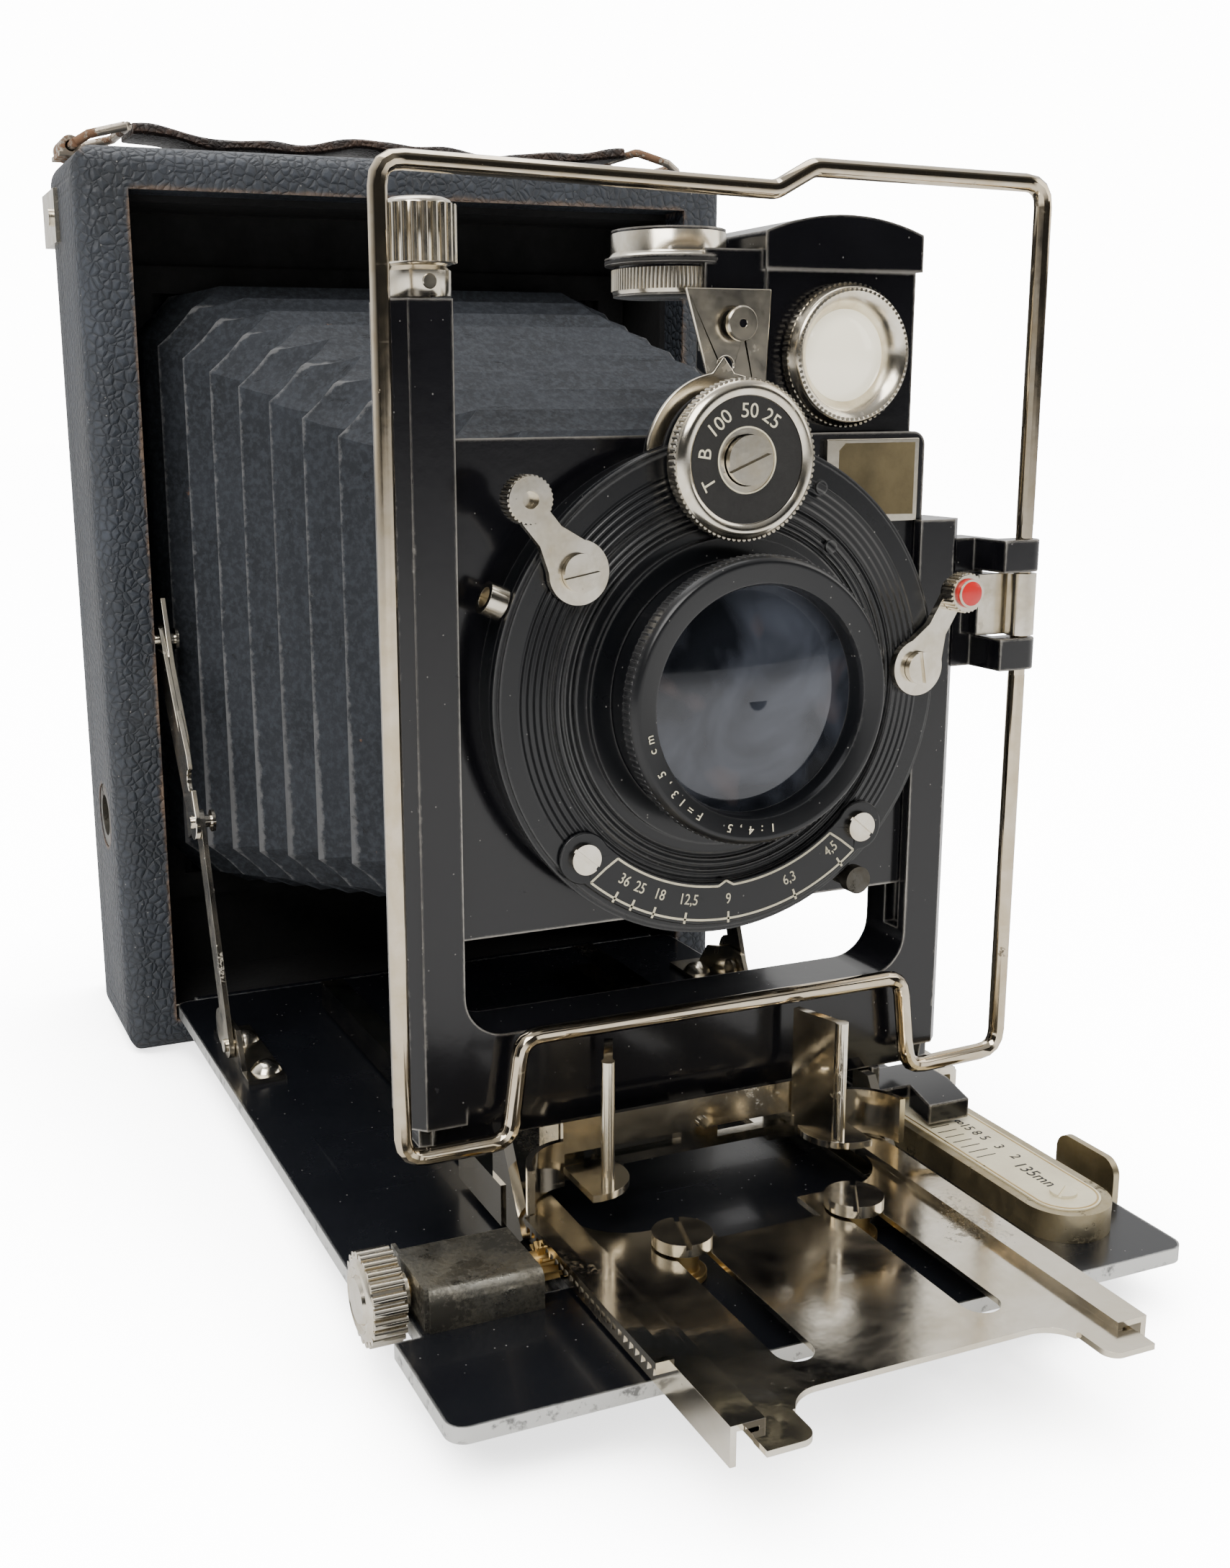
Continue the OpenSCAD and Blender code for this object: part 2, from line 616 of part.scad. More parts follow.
module u_frame() {
    bevel = 1.8;
    y1 = stand_y + arm_d;
    color([0.05, 0.05, 0.06]) difference() {
        union() {
            for (s = [-1, 1]) along_z(frame_bottom + 3, s < 0 ? long_arm_h : short_arm_h)
                scale([s, 1]) polygon([[half_frame - arm_w, stand_y], [half_frame - bevel, stand_y],
                    [half_frame, stand_y + bevel], [half_frame, y1], [half_frame - arm_w, y1]]);
            along_x(-half_frame + 3, half_frame - 3)
                polygon([[stand_y, 28.3], [stand_y, frame_base_top], [y1, frame_base_top], [y1, frame_bottom],
                    [stand_y + 1.4, frame_bottom]]);
            both_sides() along_z(frame_bottom, frame_bottom + 3.2)
                polygon([[half_frame - 3.2, stand_y + 1.4], [half_frame - 1.2, stand_y + 2],
                    [half_frame - 1.2, y1], [half_frame - 3.2, y1]]);
            both_sides() along_y(stand_y, y1) translate([half_frame - arm_w - 6, frame_base_top]) difference() {
                square([6.1, 6]);
                translate([0, 6]) circle(r = 6);
            }
        }
        both_sides() block([half_frame - arm_w - 1, board_half_w + 0.4], [board_y - 0.2, board_y + board_t + 0.2],
            [44.4, long_arm_h + 1]);
        block([-40.3, -half_frame + arm_w + 1], [board_y + board_t - 0.5, rise_y + 2.5], [78, 110]);
        translate([rise_x - 0.4, rise_y, 45]) cylinder(r = 1.75, h = 100, $fn = 32);
        block([half_frame - 0.9, half_frame + 1], [stand_y + 1.9, stand_y + 8.1], [83.9, 103.1]);
    }
}

module grip_tab(s, splay) {
    x = 15.4 * s;
    color([0.8, 0.77, 0.7]) {
        along_z(17.5, 36) translate([x, stand_y - 2.9]) rotate(s * splay) {
            translate([-0.6, -8.2]) square([1.2, 8.5]);
            translate([0, -8.2]) circle(r = 0.95, $fn = 32);
        }
        block([x - 0.6, x + 0.6], [stand_y - 3.4, stand_y + 1.7], [17.6, 19.3]);
        along_z(17, 18) intersection() {
            translate([x + s * 5.6, stand_y - 6.6]) circle(r = 6.4);
            translate([x - 7, stand_y - 13]) square([14, 10.1]);
        }
    }
}

module grip_left() {
    grip_tab(-1, 26);
}

module grip_right() {
    grip_tab(1, 18);
}

module pointer_arm() {
    color([0.07, 0.07, 0.08]) {
        block([31.5, 46], [stand_y + 1, stand_y + 9], [16.4, 18.4]);
        along_x(38.6, 46) translate([stand_y, 0]) polygon([[1, 18.4], [1, 14.8], [-4.4, 13.9], [-4.4, 17]]);
        block([31.5, 33], [stand_y + 1, stand_y + 9], [16.4, frame_bottom]);
        block([29, 33], [stand_y + 3.1, stand_y + 9], [16, 17.6]);
    }
    color([0.76, 0.72, 0.62]) {
        block([46, 51.1], [stand_y + 6, stand_y + 14], [16.6, 17.6]);
        block([50.2, 51.1], [stand_y + 6, stand_y + 14], [10.5, 16.6]);
    }
}

module wire_clasp() {
    color([0.07, 0.07, 0.08]) {
        block([half_frame - 0.9, 48.4], [stand_y + 2, stand_y + 8], [84, 103]);
        for (z = [84, 98.3]) difference() {
            union() {
                block([47, wire_hinge_x], [wire_y - 2.2, wire_y + 2.2], [z, z + 4.7]);
                block([46.6, 48.4], [wire_y - 2.2, stand_y + 8], [z, z + 4.7]);
                translate([wire_hinge_x, wire_y, z]) cylinder(r = 2.2, h = 4.7, $fn = 32);
            }
            translate([wire_hinge_x, wire_y, z - 1]) cylinder(r = hinge_pin_r + 0.05, h = 7, $fn = 32);
        }
    }
    color([0.72, 0.7, 0.62]) difference() {
        union() {
            block([44.8, wire_hinge_x], [wire_y + 1.35, wire_y + 2], [89, 98]);
            translate([wire_hinge_x, wire_y, 89]) cylinder(r = 2, h = 9, $fn = 32);
            block([44.8, 48.4], [wire_y + 1.35, stand_y + 2], [89, 98]);
        }
        translate([wire_hinge_x, wire_y, 80]) cylinder(r = hinge_pin_r + 0.05, h = 30, $fn = 32);
    }
}

// ---- lens board and shutter ----

module lens_board() {
    color([0.05, 0.05, 0.06]) difference() {
        union() {
            along_y(board_y, board_y + board_t)
                round_square([-board_half_w, board_z0], [board_half_w, board_z1], 2);
            block([-39.8, 3 - board_half_w], [board_y + board_t - 0.1, rise_y + 2.1], [88, 96]);
        }
        disc_y(lens_x, lens_z, 22.3, board_y - 1, board_y + board_t + 1);
        translate([rise_x - 0.4, rise_y, 80]) cylinder(r = 1.46, h = 30, $fn = 32);
    }
}

module finder_plate() {
    color([0.05, 0.05, 0.06]) difference() {
        block([20, 35.4], [board_y - 1, board_y], [106, 117.6]);
        disc_y(lens_x, lens_z, shutter_r + 0.2, board_y - 2, board_y + 1);
    }
    color([0.8, 0.78, 0.72]) difference() {
        along_y(board_y + 0.4, board_y + 1) polygon([[4, board_z1], [10.4, board_z1], [11.4, 137.6], [-1.8, 137.6]]);
        disc_y(finder_pivot[0], finder_pivot[1], 1.25, board_y - 1, board_y + 3, 32);
        disc_y(4.4, 127.5, 1.2, board_y - 1, board_y + 3, 24);
    }
}

module shutter_case() {
    color([0.05, 0.05, 0.06]) difference() {
        union() {
            disc_y(lens_x, lens_z, shutter_r - 0.8, shutter_front_y + 2, board_y);
            disc_y(lens_x, lens_z, 22, board_y, board_y + board_t);
            disc_y(dial_x, dial_z, 9, shutter_front_y + 2, board_y);
        }
        disc_y(lens_x, lens_z, 15.5, shutter_front_y - 1, board_y + board_t + 1);
        disc_y(lens_x, lens_z, 29, shutter_front_y + 1, board_y - 2);
        translate([lens_x, 0, lens_z]) along_y(board_y - 4.4, board_y - 3) ring_sector(30, 40, -140, -40);
    }
}

module shutter_cover() {
    grooves = [22.6, 24.2, 25.8];
    color([0.07, 0.07, 0.08]) difference() {
        union() {
            disc_y(lens_x, lens_z, shutter_r, shutter_front_y + 0.6, shutter_front_y + 2, 96);
            disc_y(lens_x, lens_z, shutter_r - 0.7, shutter_front_y, shutter_front_y + 0.6, 96);
            disc_y(lens_x, lens_z, 21, shutter_front_y - 1.2, shutter_front_y);
        }
        for (r = grooves) translate([lens_x, shutter_front_y, lens_z]) rotate([90, 0, 0])
            rotate_extrude($fn = 96) translate([r, -0.35]) square([0.7, 0.6]);
        disc_y(lens_x, lens_z, 18, shutter_front_y - 2, shutter_front_y + 3);
        disc_y(dial_x, dial_z, 1.45, shutter_front_y - 2, shutter_front_y + 3, 32);
        for (p = [setting_pivot, release_pivot]) disc_y(p[0], p[1], 1.05, shutter_front_y - 2, shutter_front_y + 3, 32);
    }
    color([0.8, 0.78, 0.72]) for (p = [[14.8, 111.4], [16.6, 103.4]])
        disc_y(p[0], p[1], 0.9, shutter_front_y - 0.5, shutter_front_y, 24);
}

// A ring of thin overlapping leaves laid out round the lens axis
module leaves(count, r0, r1, y0, t, lean) {
    for (i = [0:count - 1]) translate([lens_x, 0, lens_z]) rotate([0, 360 * i / count, 0])
        along_y(y0, y0 + t) ring_sector(r0, r1, lean, lean + 360 / count - 2);
}

module iris_blades() {
    color([0.12, 0.12, 0.14]) leaves(8, 15.7, 22, board_y - 3.6, 0.3, 0);
}

module shutter_blades() {
    color([0.16, 0.16, 0.18]) leaves(3, 15.9, 24, board_y - 4.6, 0.3, 20);
}

module rear_barrel() {
    color([0.06, 0.06, 0.07]) difference() {
        disc_y(lens_x, lens_z, 15.2, board_y - 1.5, board_y + 12);
        disc_y(lens_x, lens_z, 13.4, board_y - 2, board_y + 13);
    }
}

module rear_glass() {
    color([0.6, 0.66, 0.7, 0.5]) disc_y(lens_x, lens_z, 13.3, board_y + 7, board_y + 10.5);
}

module retaining_ring() {
    color([0.1, 0.1, 0.11]) difference() {
        disc_y(lens_x, lens_z, 24.6, board_y + board_t, board_y + board_t + 1.4);
        disc_y(lens_x, lens_z, 15.4, board_y + board_t - 1, board_y + board_t + 2);
    }
}

module lens_barrel() {
    color([0.05, 0.05, 0.06]) difference() {
        union() {
            disc_y(lens_x, lens_z, 17.9, ring_front_y + 3.6, shutter_front_y + 2);
            disc_y(lens_x, lens_z, 15.3, shutter_front_y + 2, shutter_front_y + 3.6);
        }
        disc_y(lens_x, lens_z, 14.6, ring_front_y, shutter_front_y + 4);
        disc_y(lens_x, lens_z, 16, ring_front_y, ring_front_y + 6);
    }
}

module lens_ring() {
    color([0.06, 0.06, 0.07]) difference() {
        union() {
            disc_y(lens_x, lens_z, 18.8, ring_front_y, ring_front_y + 3.6, 96);
            translate([lens_x, ring_front_y + 3.2, lens_z]) rotate([90, 0, 0])
                linear_extrude(2.4) knurled_outline(lens_ring_r, 90, 0.35);
        }
        translate([lens_x, ring_front_y - 0.01, lens_z]) rotate([-90, 0, 0])
            rotate_extrude($fn = 96) polygon([[0, -1], [18.3, -1], [18.3, 0], [16.9, 0.2], [glass_r + 0.4, 2.2],
                [glass_r, 2.8], [glass_r, 5], [0, 5]]);
    }
}

module front_glass() {
    sphere_r = 60;
    sag = sphere_r - sqrt(sphere_r * sphere_r - glass_r * glass_r);
    color([0.6, 0.68, 0.74, 0.4]) {
        translate([lens_x, ring_front_y + 3.6, lens_z]) rotate([90, 0, 0]) rotate_extrude($fn = 96)
            intersection() {
                translate([0, sag - sphere_r]) circle(r = sphere_r, $fn = 180);
                square([glass_r - 0.05, sag + 1]);
            }
        disc_y(lens_x, lens_z, 15.9, ring_front_y + 3.6, ring_front_y + 5.8);
    }
}

module aperture_plate() {
    color([0.08, 0.08, 0.09]) translate([lens_x, 0, lens_z])
        along_y(shutter_front_y - 0.7, shutter_front_y) difference() {
            union() {
                ring_sector(26.6, 32.6, -138, -42);
                for (a = [-136, -44]) translate([30 * cos(a), 30 * sin(a)]) circle(r = 3.6);
            }
            for (a = [-136, -44]) translate([30 * cos(a), 30 * sin(a)]) circle(r = 1.05);
        }
}

module shutter_screws() {
    front = shutter_front_y;
    color([0.78, 0.76, 0.7]) {
        for (a = [-136, -44])
            screw_y(lens_x + 30 * cos(a), lens_z + 30 * sin(a), 2.1, front - 1.5, 0.8, 1, front, 40);
        screw_y(setting_pivot[0], setting_pivot[1], 2.5, front - 2.7, 1, 1, front + 2, -10);
        screw_y(release_pivot[0], release_pivot[1], 2.3, front - 2.7, 1, 1, front + 2, 80);
        screw_y(dial_x, dial_z, 3.2, front - 5.6, 1.2, 1.4, front + 2, -22);
    }
}

module cable_socket() {
    color([0.78, 0.76, 0.7]) translate([lens_x, stand_y - 2.3, lens_z]) rotate([0, -67.2, 0])
        translate([0, 0, shutter_r - 0.8]) difference() {
            union() {
                cylinder(r = 1.2, h = 1.6, $fn = 32);
                translate([0, 0, 1]) cylinder(r = 2.2, h = 2.6, $fn = 32);
            }
            translate([0, 0, 1.9]) cylinder(r = 1.4, h = 3, $fn = 32);
        }
}

module dial_index() {
    color([0.78, 0.76, 0.7]) along_y(shutter_front_y + 2, shutter_front_y + 2.7) {
        difference() {
            union() {
                translate([dial_x, dial_z]) circle(r = 11.2);
                polygon([[dial_x - 2, dial_z + 10.6], [dial_x + 2, dial_z + 10.6], [dial_x, dial_z + 13.2]]);
            }
            translate([lens_x, lens_z]) circle(r = shutter_r + 0.1);
            translate([dial_x, dial_z]) circle(r = 9.05);
        }
    }
}

module rise_screw() {
    color([0.66, 0.64, 0.58]) translate([rise_x - 0.4, rise_y, 60]) cylinder(r = 1.4, h = long_arm_h - 60 + 4, $fn = 32);
}

module rise_knob() {
    color([0.8, 0.78, 0.72]) translate([rise_x - 0.4, rise_y, long_arm_h + 0.3]) difference() {
        union() {
            cylinder(r = 4.1, h = 3.6, $fn = 48);
            translate([0, 0, 3.6]) linear_extrude(8) knurled_outline(5, 20, 0.55);
            translate([0, 0, 11.6]) cylinder(r1 = 4.4, r2 = 3.6, h = 0.6, $fn = 48);
        }
        translate([0, 0, -1]) cylinder(r = 1.4, h = 4.7, $fn = 32);
        translate([0, -5, 1.8]) rotate([-90, 0, 0]) cylinder(r = 1, h = 3, $fn = 32);
    }
}

module speed_dial() {
    y0 = shutter_front_y - 5;
    y1 = shutter_front_y - gap;
    color([0.78, 0.76, 0.7]) difference() {
        union() {
            disc_y(dial_x, dial_z, dial_r - 1.2, y0, y0 + 0.7);
            translate([dial_x, y0 + 2.7, dial_z]) rotate([90, 0, 0]) linear_extrude(2) knurled_outline(dial_r, 72, 0.35);
            disc_y(dial_x, dial_z, dial_r - 1, y0 + 2.7, y1);
        }
        disc_y(dial_x, dial_z, 8.2, y0 - 1, y0 + 0.4);
        disc_y(dial_x, dial_z, 3.4, y0 - 1, y0 + 0.7, 32);
        disc_y(dial_x, dial_z, 1.45, y0 - 1, y1 + 1, 32);
    }
}

module lever_blade(pivot, tip, r0, r1, hole) {
    d = tip - pivot;
    len = norm(d);
    along_y(shutter_front_y - 1.6, shutter_front_y - 0.4) difference() {
        union() {
            translate(pivot) circle(r = r0, $fn = 48);
            translate(tip) circle(r = r1, $fn = 48);
            translate(pivot) rotate(atan2(d[1], d[0]))
                polygon([[0, -r0], [len * 0.5, -r1 * 0.8], [len, -r1 * 0.8], [len, r1 * 0.8], [len * 0.5, r1 * 0.8], [0, r0]]);
        }
        translate(pivot) circle(r = hole, $fn = 32);
    }
}

module setting_lever() {
    tip = [-29.6, 111.2];
    color([0.78, 0.76, 0.7]) {
        lever_blade(setting_pivot, tip, 4.2, 2.4, 1.05);
        difference() {
            disc_y(tip[0], tip[1], 2.9, shutter_front_y - 4.6, shutter_front_y - 1.6, 32);
            disc_y(tip[0], tip[1], 1.1, shutter_front_y - 5, shutter_front_y - 3, 24);
        }
    }
}

module release_lever() {
    tip = [37, 96.4];
    color([0.78, 0.76, 0.7]) {
        lever_blade(release_pivot, tip, 4, 2, 1.05);
        disc_y(tip[0], tip[1], 2.6, shutter_front_y - 4.2, shutter_front_y - 1.6, 32);
    }
    color([0.85, 0.08, 0.06]) disc_y(tip[0], tip[1], 2, shutter_front_y - 4.9, shutter_front_y - 4.2, 32);
}

module aperture_pointer() {
    a = -53;
    c = [lens_x + 36.3 * cos(a), lens_z + 36.3 * sin(a)];
    color([0.16, 0.15, 0.14]) {
        translate([lens_x, 0, lens_z]) along_y(board_y - 4.1, board_y - 3.3) ring_sector(30.4, 36.5, a - 2.4, a + 2.4);
        disc_y(c[0], c[1], 1.5, board_y - 6.4, board_y - 3.3, 24);
        disc_y(c[0], c[1], 2, board_y - 8.2, board_y - 6.4, 32);
    }
}

// ---- finders ----

module finder_body() {
    y0 = finder_y;
    y1 = y0 + 20;
    x0 = 12.2;
    x1 = 36.6;
    color([0.05, 0.05, 0.06]) {
        difference() {
            along_x(x0, x1)
                polygon([[y0, 116.4], [y0, 140.4], [y1, 140.4], [y1, 127.6], [y0 + 0.8, 119.4], [y0 + 0.8, 116.4]]);
            disc_y(24.5, 129, 6.4, y0 - 1, y0 + 7);
        }
        along_y(y0 - 0.8, y1 + 0.8) intersection() {
            round_square([x0 - 0.6, 132], [x1 + 0.6, 147.8], 3);
            translate([24.4, 112.4]) circle(r = 35.4, $fn = 96);
            translate([0, 140.4]) square([60, 10]);
        }
        block([x0 - 9.5, x0], [y0 + 0.2, y0 + 1.8], [129.6, 140.4]);
        disc_y(finder_pivot[0], finder_pivot[1], 1.2, board_y - 0.6, y0 + 0.2, 32);
        disc_y(finder_pivot[0], finder_pivot[1], 2.2, board_y - 1.4, board_y - 0.6, 32);
        block([x0 - 9.5, x0], [y0 + 0.2, y0 + 12], [139.4, 143]);
    }
    color([0.78, 0.76, 0.7]) translate([1.4, y0 + 8.4, 137]) difference() {
        union() {
            cylinder(r = 7.6, h = 4.2, $fn = 64);
            translate([0, 0, 4.2]) cylinder(r = 8.8, h = 0.9, $fn = 64);
            translate([0, 0, 5.1]) cylinder(r = 7.9, h = 3.7, $fn = 64);
        }
        translate([0, 0, 7]) cylinder(r = 6, h = 3, $fn = 64);
    }
}

module finder_lens() {
    y0 = finder_y;
    color([0.8, 0.78, 0.72]) difference() {
        union() {
            disc_y(24.5, 129, 9.9, y0 - 1.6, y0);
            disc_y(24.5, 129, 9.2, y0 - 3.4, y0 - 1.6);
        }
        translate([24.5, y0 - 4.4, 129]) rotate([-90, 0, 0]) cylinder(r1 = 8.4, r2 = 6, h = 3.4);
        disc_y(24.5, 129, 6, y0 - 2, y0 + 1);
    }
    color([0.86, 0.84, 0.74]) disc_y(24.5, 129, 5.95, y0 - 1, y0 + 1.6);
}

// Route of the wire frame in X and Z: a bent rectangle with a low dip above and a notch below
wire_route = [[wire_hinge_x, 83], [wire_hinge_x, 24], [35, 23.5], [33.2, 38.3], [-28.6, 38.3], [-30.6, 23.5],
    [-46, 23.5], [-46, 151.2], [8.4, 149.6], [14, 152.6], [wire_hinge_x, 152], [wire_hinge_x, 105]];

// Points of a bend of radius r about the corner b between a and c
function bend(a, b, c, r) =
    let (u = unit(a - b), v = unit(c - b), half = acos(max(-1, min(1, u * v))) / 2, d = min(r / tan(half), 4))
    [for (k = [0:4]) let (t = k / 4, p = b + u * d * (1 - t), q = b + v * d * t) p * (1 - t) + q * t];
wire_bends = [for (i = [1:len(wire_route) - 2])
    each bend(wire_route[i - 1], wire_route[i], wire_route[i + 1], 3.2)];
wire_points = [for (p = concat([wire_route[0]], wire_bends, [wire_route[len(wire_route) - 1]]))
    [p[0], wire_y, p[1]]];

module wire_frame() {
    color([0.78, 0.74, 0.66]) {
        sweep(wire_points, wire_r, 12);
        translate([wire_hinge_x, wire_y, 81]) cylinder(r = hinge_pin_r, h = 26, $fn = 32);
    }
}

// ---- focusing back ----

module focusing_back() {
    y0 = back_y - 10.2;
    color([0.12, 0.12, 0.13]) difference() {
        union() {
            block([-52.2, 52.2], [y0, back_y - 4.3], [18.3, 152]);
            block([-49.2, 49.2], [back_y - 4.4, back_y], [18.3, 152]);
        }
        block([-44, 44], [y0 + 3, back_y + 1], [24, 146]);
        block([-41, 41], [y0 - 1, y0 + 4], [27, 143]);
        block([-30.4, 30.4], [back_y - 3.5, back_y + 1], [140, 153]);
        disc_x(back_y - 2, 149.5, 0.75, -52, 52, 24);
    }
    color([0.75, 0.8, 0.8, 0.5]) block([-43.8, 43.8], [y0 + 3, y0 + 4.8], [24.2, 145.8]);
}

module hood_cover() {
    hinge_z = 149.5;
    color([0.1, 0.1, 0.11]) {
        difference() {
            block([-43.7, 43.7], [back_y - 4.6, back_y - 2.8], [24.6, 145.1]);
            for (x = [-20, 20]) block([x - 8, x + 8], [back_y - 3.2, back_y - 2], [40, 130]);
        }
        block([-30, 30], [back_y - 2.9, back_y - 1.4], [143, hinge_z]);
        disc_x(back_y - 2, hinge_z, 1.2, -30, 30, 32);
        disc_x(back_y - 2, hinge_z, 0.7, -48.8, 48.8, 24);
    }
}

body_shell();
inner_box();
back_frame();
back_latch();
side_bush();
bed_bush();
handle_strap();
handle_loops();
handle_lugs();
bed();
bed_hinge_pin();
strut_upper_links();
strut_lower_links();
strut_brackets();
strut_pins();
focus_housing();
scale_base();
scale_plate();
rail_screws();
rail_washers();
bed_lock_lever();
bellows();
bellows_rear_frame();
rail_plate();
rack();
pinion_shaft();
focus_knob();
carriage();
u_frame();
grip_left();
grip_right();
pointer_arm();
wire_clasp();
lens_board();
finder_plate();
shutter_case();
shutter_cover();
iris_blades();
shutter_blades();
rear_barrel();
rear_glass();
retaining_ring();
lens_barrel();
lens_ring();
front_glass();
aperture_plate();
shutter_screws();
cable_socket();
dial_index();
rise_screw();
rise_knob();
speed_dial();
setting_lever();
release_lever();
aperture_pointer();
finder_body();
finder_lens();
wire_frame();
focusing_back();
hood_cover();
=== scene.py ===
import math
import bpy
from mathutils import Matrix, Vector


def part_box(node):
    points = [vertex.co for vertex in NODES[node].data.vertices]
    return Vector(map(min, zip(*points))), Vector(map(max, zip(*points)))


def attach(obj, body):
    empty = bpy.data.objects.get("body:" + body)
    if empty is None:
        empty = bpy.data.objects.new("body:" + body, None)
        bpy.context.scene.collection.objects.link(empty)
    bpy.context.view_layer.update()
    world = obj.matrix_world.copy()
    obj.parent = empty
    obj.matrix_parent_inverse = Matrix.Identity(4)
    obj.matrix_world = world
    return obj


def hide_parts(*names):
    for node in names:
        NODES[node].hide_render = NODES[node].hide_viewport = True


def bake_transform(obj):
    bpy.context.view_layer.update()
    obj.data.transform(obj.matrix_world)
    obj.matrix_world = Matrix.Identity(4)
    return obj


bl_info = {
    "name": "Folding Plate Camera",
    "version": (1, 0, 0),
    "blender": (4, 5, 0),
    "location": "3D View > Sidebar > Plate Camera",
    "description": "Finishes and fine parts of a folding plate camera around its measured frame",
    "category": "Object",
}

import bmesh
import bpy
from mathutils import Matrix, Vector

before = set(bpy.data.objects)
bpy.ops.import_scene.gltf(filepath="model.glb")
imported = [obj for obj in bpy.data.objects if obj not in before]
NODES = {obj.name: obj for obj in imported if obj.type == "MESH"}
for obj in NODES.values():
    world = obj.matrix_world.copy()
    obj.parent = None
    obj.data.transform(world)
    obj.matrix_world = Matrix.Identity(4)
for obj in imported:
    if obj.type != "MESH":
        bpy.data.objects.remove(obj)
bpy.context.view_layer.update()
MM = 0.001

FRONT_Y = -23.0
STAND_Y = FRONT_Y - 110.0
BOARD_Y = STAND_Y + 2.0
COVER_Y = BOARD_Y - 7.6
RING_Y = COVER_Y - 10.0
LENS_X, LENS_Z = 1.0, 84.4
DIAL_X, DIAL_Z = 0.8, 115.4


# ---------------------------------------------------------------- node helpers

def node(tree, kind, inputs=None, **settings):
    """Add a node; inputs maps a socket's name or number to a value or to the output that feeds it."""
    made = tree.nodes.new(kind)
    for key, value in settings.items():
        setattr(made, key, value)
    for key, value in (inputs or {}).items():
        socket = made.inputs[key]
        if isinstance(value, bpy.types.NodeSocket):
            tree.links.new(value, socket)
        else:
            socket.default_value = value
    return made


def math_node(tree, operation, a, b=0.0, clamp=False):
    return node(tree, "ShaderNodeMath", {0: a, 1: b}, operation=operation, use_clamp=clamp).outputs[0]


def blend_colors(tree, factor, a, b, blend_type="MIX"):
    made = tree.nodes.new("ShaderNodeMix")
    made.data_type = "RGBA"
    made.blend_type = blend_type
    for socket, value in ((made.inputs[0], factor), (made.inputs[6], a), (made.inputs[7], b)):
        if isinstance(value, bpy.types.NodeSocket):
            tree.links.new(value, socket)
        else:
            socket.default_value = value
    return made.outputs[2]


def ramp(tree, value, low, high, to_low=0.0, to_high=1.0):
    made = node(tree, "ShaderNodeMapRange", {0: value, 1: low, 2: high, 3: to_low, 4: to_high}, clamp=True)
    return made.outputs[0]


def rgba(color):
    return (color[0], color[1], color[2], 1.0)


def noise(tree, place, scale, detail=4.0, rough=0.55, distortion=0.0):
    return node(tree, "ShaderNodeTexNoise", {"Vector": place, "Scale": scale, "Detail": detail,
                "Roughness": rough, "Distortion": distortion}).outputs["Fac"]


def object_place(tree, stretch=(1.0, 1.0, 1.0)):
    place = node(tree, "ShaderNodeTexCoord").outputs["Object"]
    return node(tree, "ShaderNodeMapping", {"Vector": place, "Scale": stretch}).outputs[0]


def new_group(name, inputs, outputs):
    """An empty shader node group with named float inputs (name, default) and outputs (name, kind)."""
    group = bpy.data.node_groups.new(name, "ShaderNodeTree")
    for title, default in inputs:
        socket = group.interface.new_socket(title, in_out="INPUT", socket_type="NodeSocketFloat")
        socket.default_value = default
    for title, kind in outputs:
        group.interface.new_socket(title, in_out="OUTPUT", socket_type=kind)
    return group, group.nodes.new("NodeGroupInput"), group.nodes.new("NodeGroupOutput")


# ---------------------------------------------------------------- shared effects

def edge_wear_group():
    """Mask of the worn edges: where a rounded normal leaves the true one, broken up by noise."""
    group, given, result = new_group("Edge wear",
        [("Radius", 0.0006), ("Gain", 6.0), ("Break scale", 900.0),
                                     ("Break", 0.8), ("Bias", -0.1)], [("Mask", "NodeSocketFloat")])
    rounded = node(group, "ShaderNodeBevel", {"Radius": given.outputs["Radius"]}, samples=4)
    true_normal = node(group, "ShaderNodeNewGeometry").outputs["Normal"]
    dot = node(group, "ShaderNodeVectorMath", {0: rounded.outputs[0], 1: true_normal},
        operation="DOT_PRODUCT")
    edge = math_node(group, "MULTIPLY", math_node(group, "SUBTRACT", 1.0, dot.outputs["Value"]),
        given.outputs["Gain"])
    place = node(group, "ShaderNodeTexCoord").outputs["Object"]
    grit = noise(group, place, given.outputs["Break scale"], 5.0, 0.65)
    patch = noise(group, place, 90.0, 2.0)
    broken = math_node(group, "MULTIPLY",
        math_node(group, "SUBTRACT", math_node(group, "ADD", grit, patch), 1.0),
                       given.outputs["Break"])
    total = math_node(group, "ADD", math_node(group, "ADD", edge,
        math_node(group, "MULTIPLY", broken, 2.0)),
                      given.outputs["Bias"])
    sharp = ramp(group, total, 0.45, 0.6)
    only_edges = ramp(group, edge, 0.05, 0.2)
    group.links.new(math_node(group, "MULTIPLY", sharp, only_edges), result.inputs["Mask"])
    return group


def dust_group():
    """Fine specks that lie on a surface."""
    group, given, result = new_group("Dust specks", [("Scale", 1500.0), ("Amount", 0.5)],
                                     [("Mask", "NodeSocketFloat")])
    place = node(group, "ShaderNodeTexCoord").outputs["Object"]
    cells = node(group, "ShaderNodeTexVoronoi", {"Vector": place, "Scale": given.outputs["Scale"]})
    dots = ramp(group, cells.outputs["Distance"], 0.1, 0.18, 1.0, 0.0)
    pick = node(group, "ShaderNodeSeparateColor", {0: cells.outputs["Color"]})
    few = math_node(group, "GREATER_THAN", pick.outputs[0],
        math_node(group, "SUBTRACT", 1.0, given.outputs["Amount"]))
    group.links.new(math_node(group, "MULTIPLY", dots, few), result.inputs["Mask"])
    return group


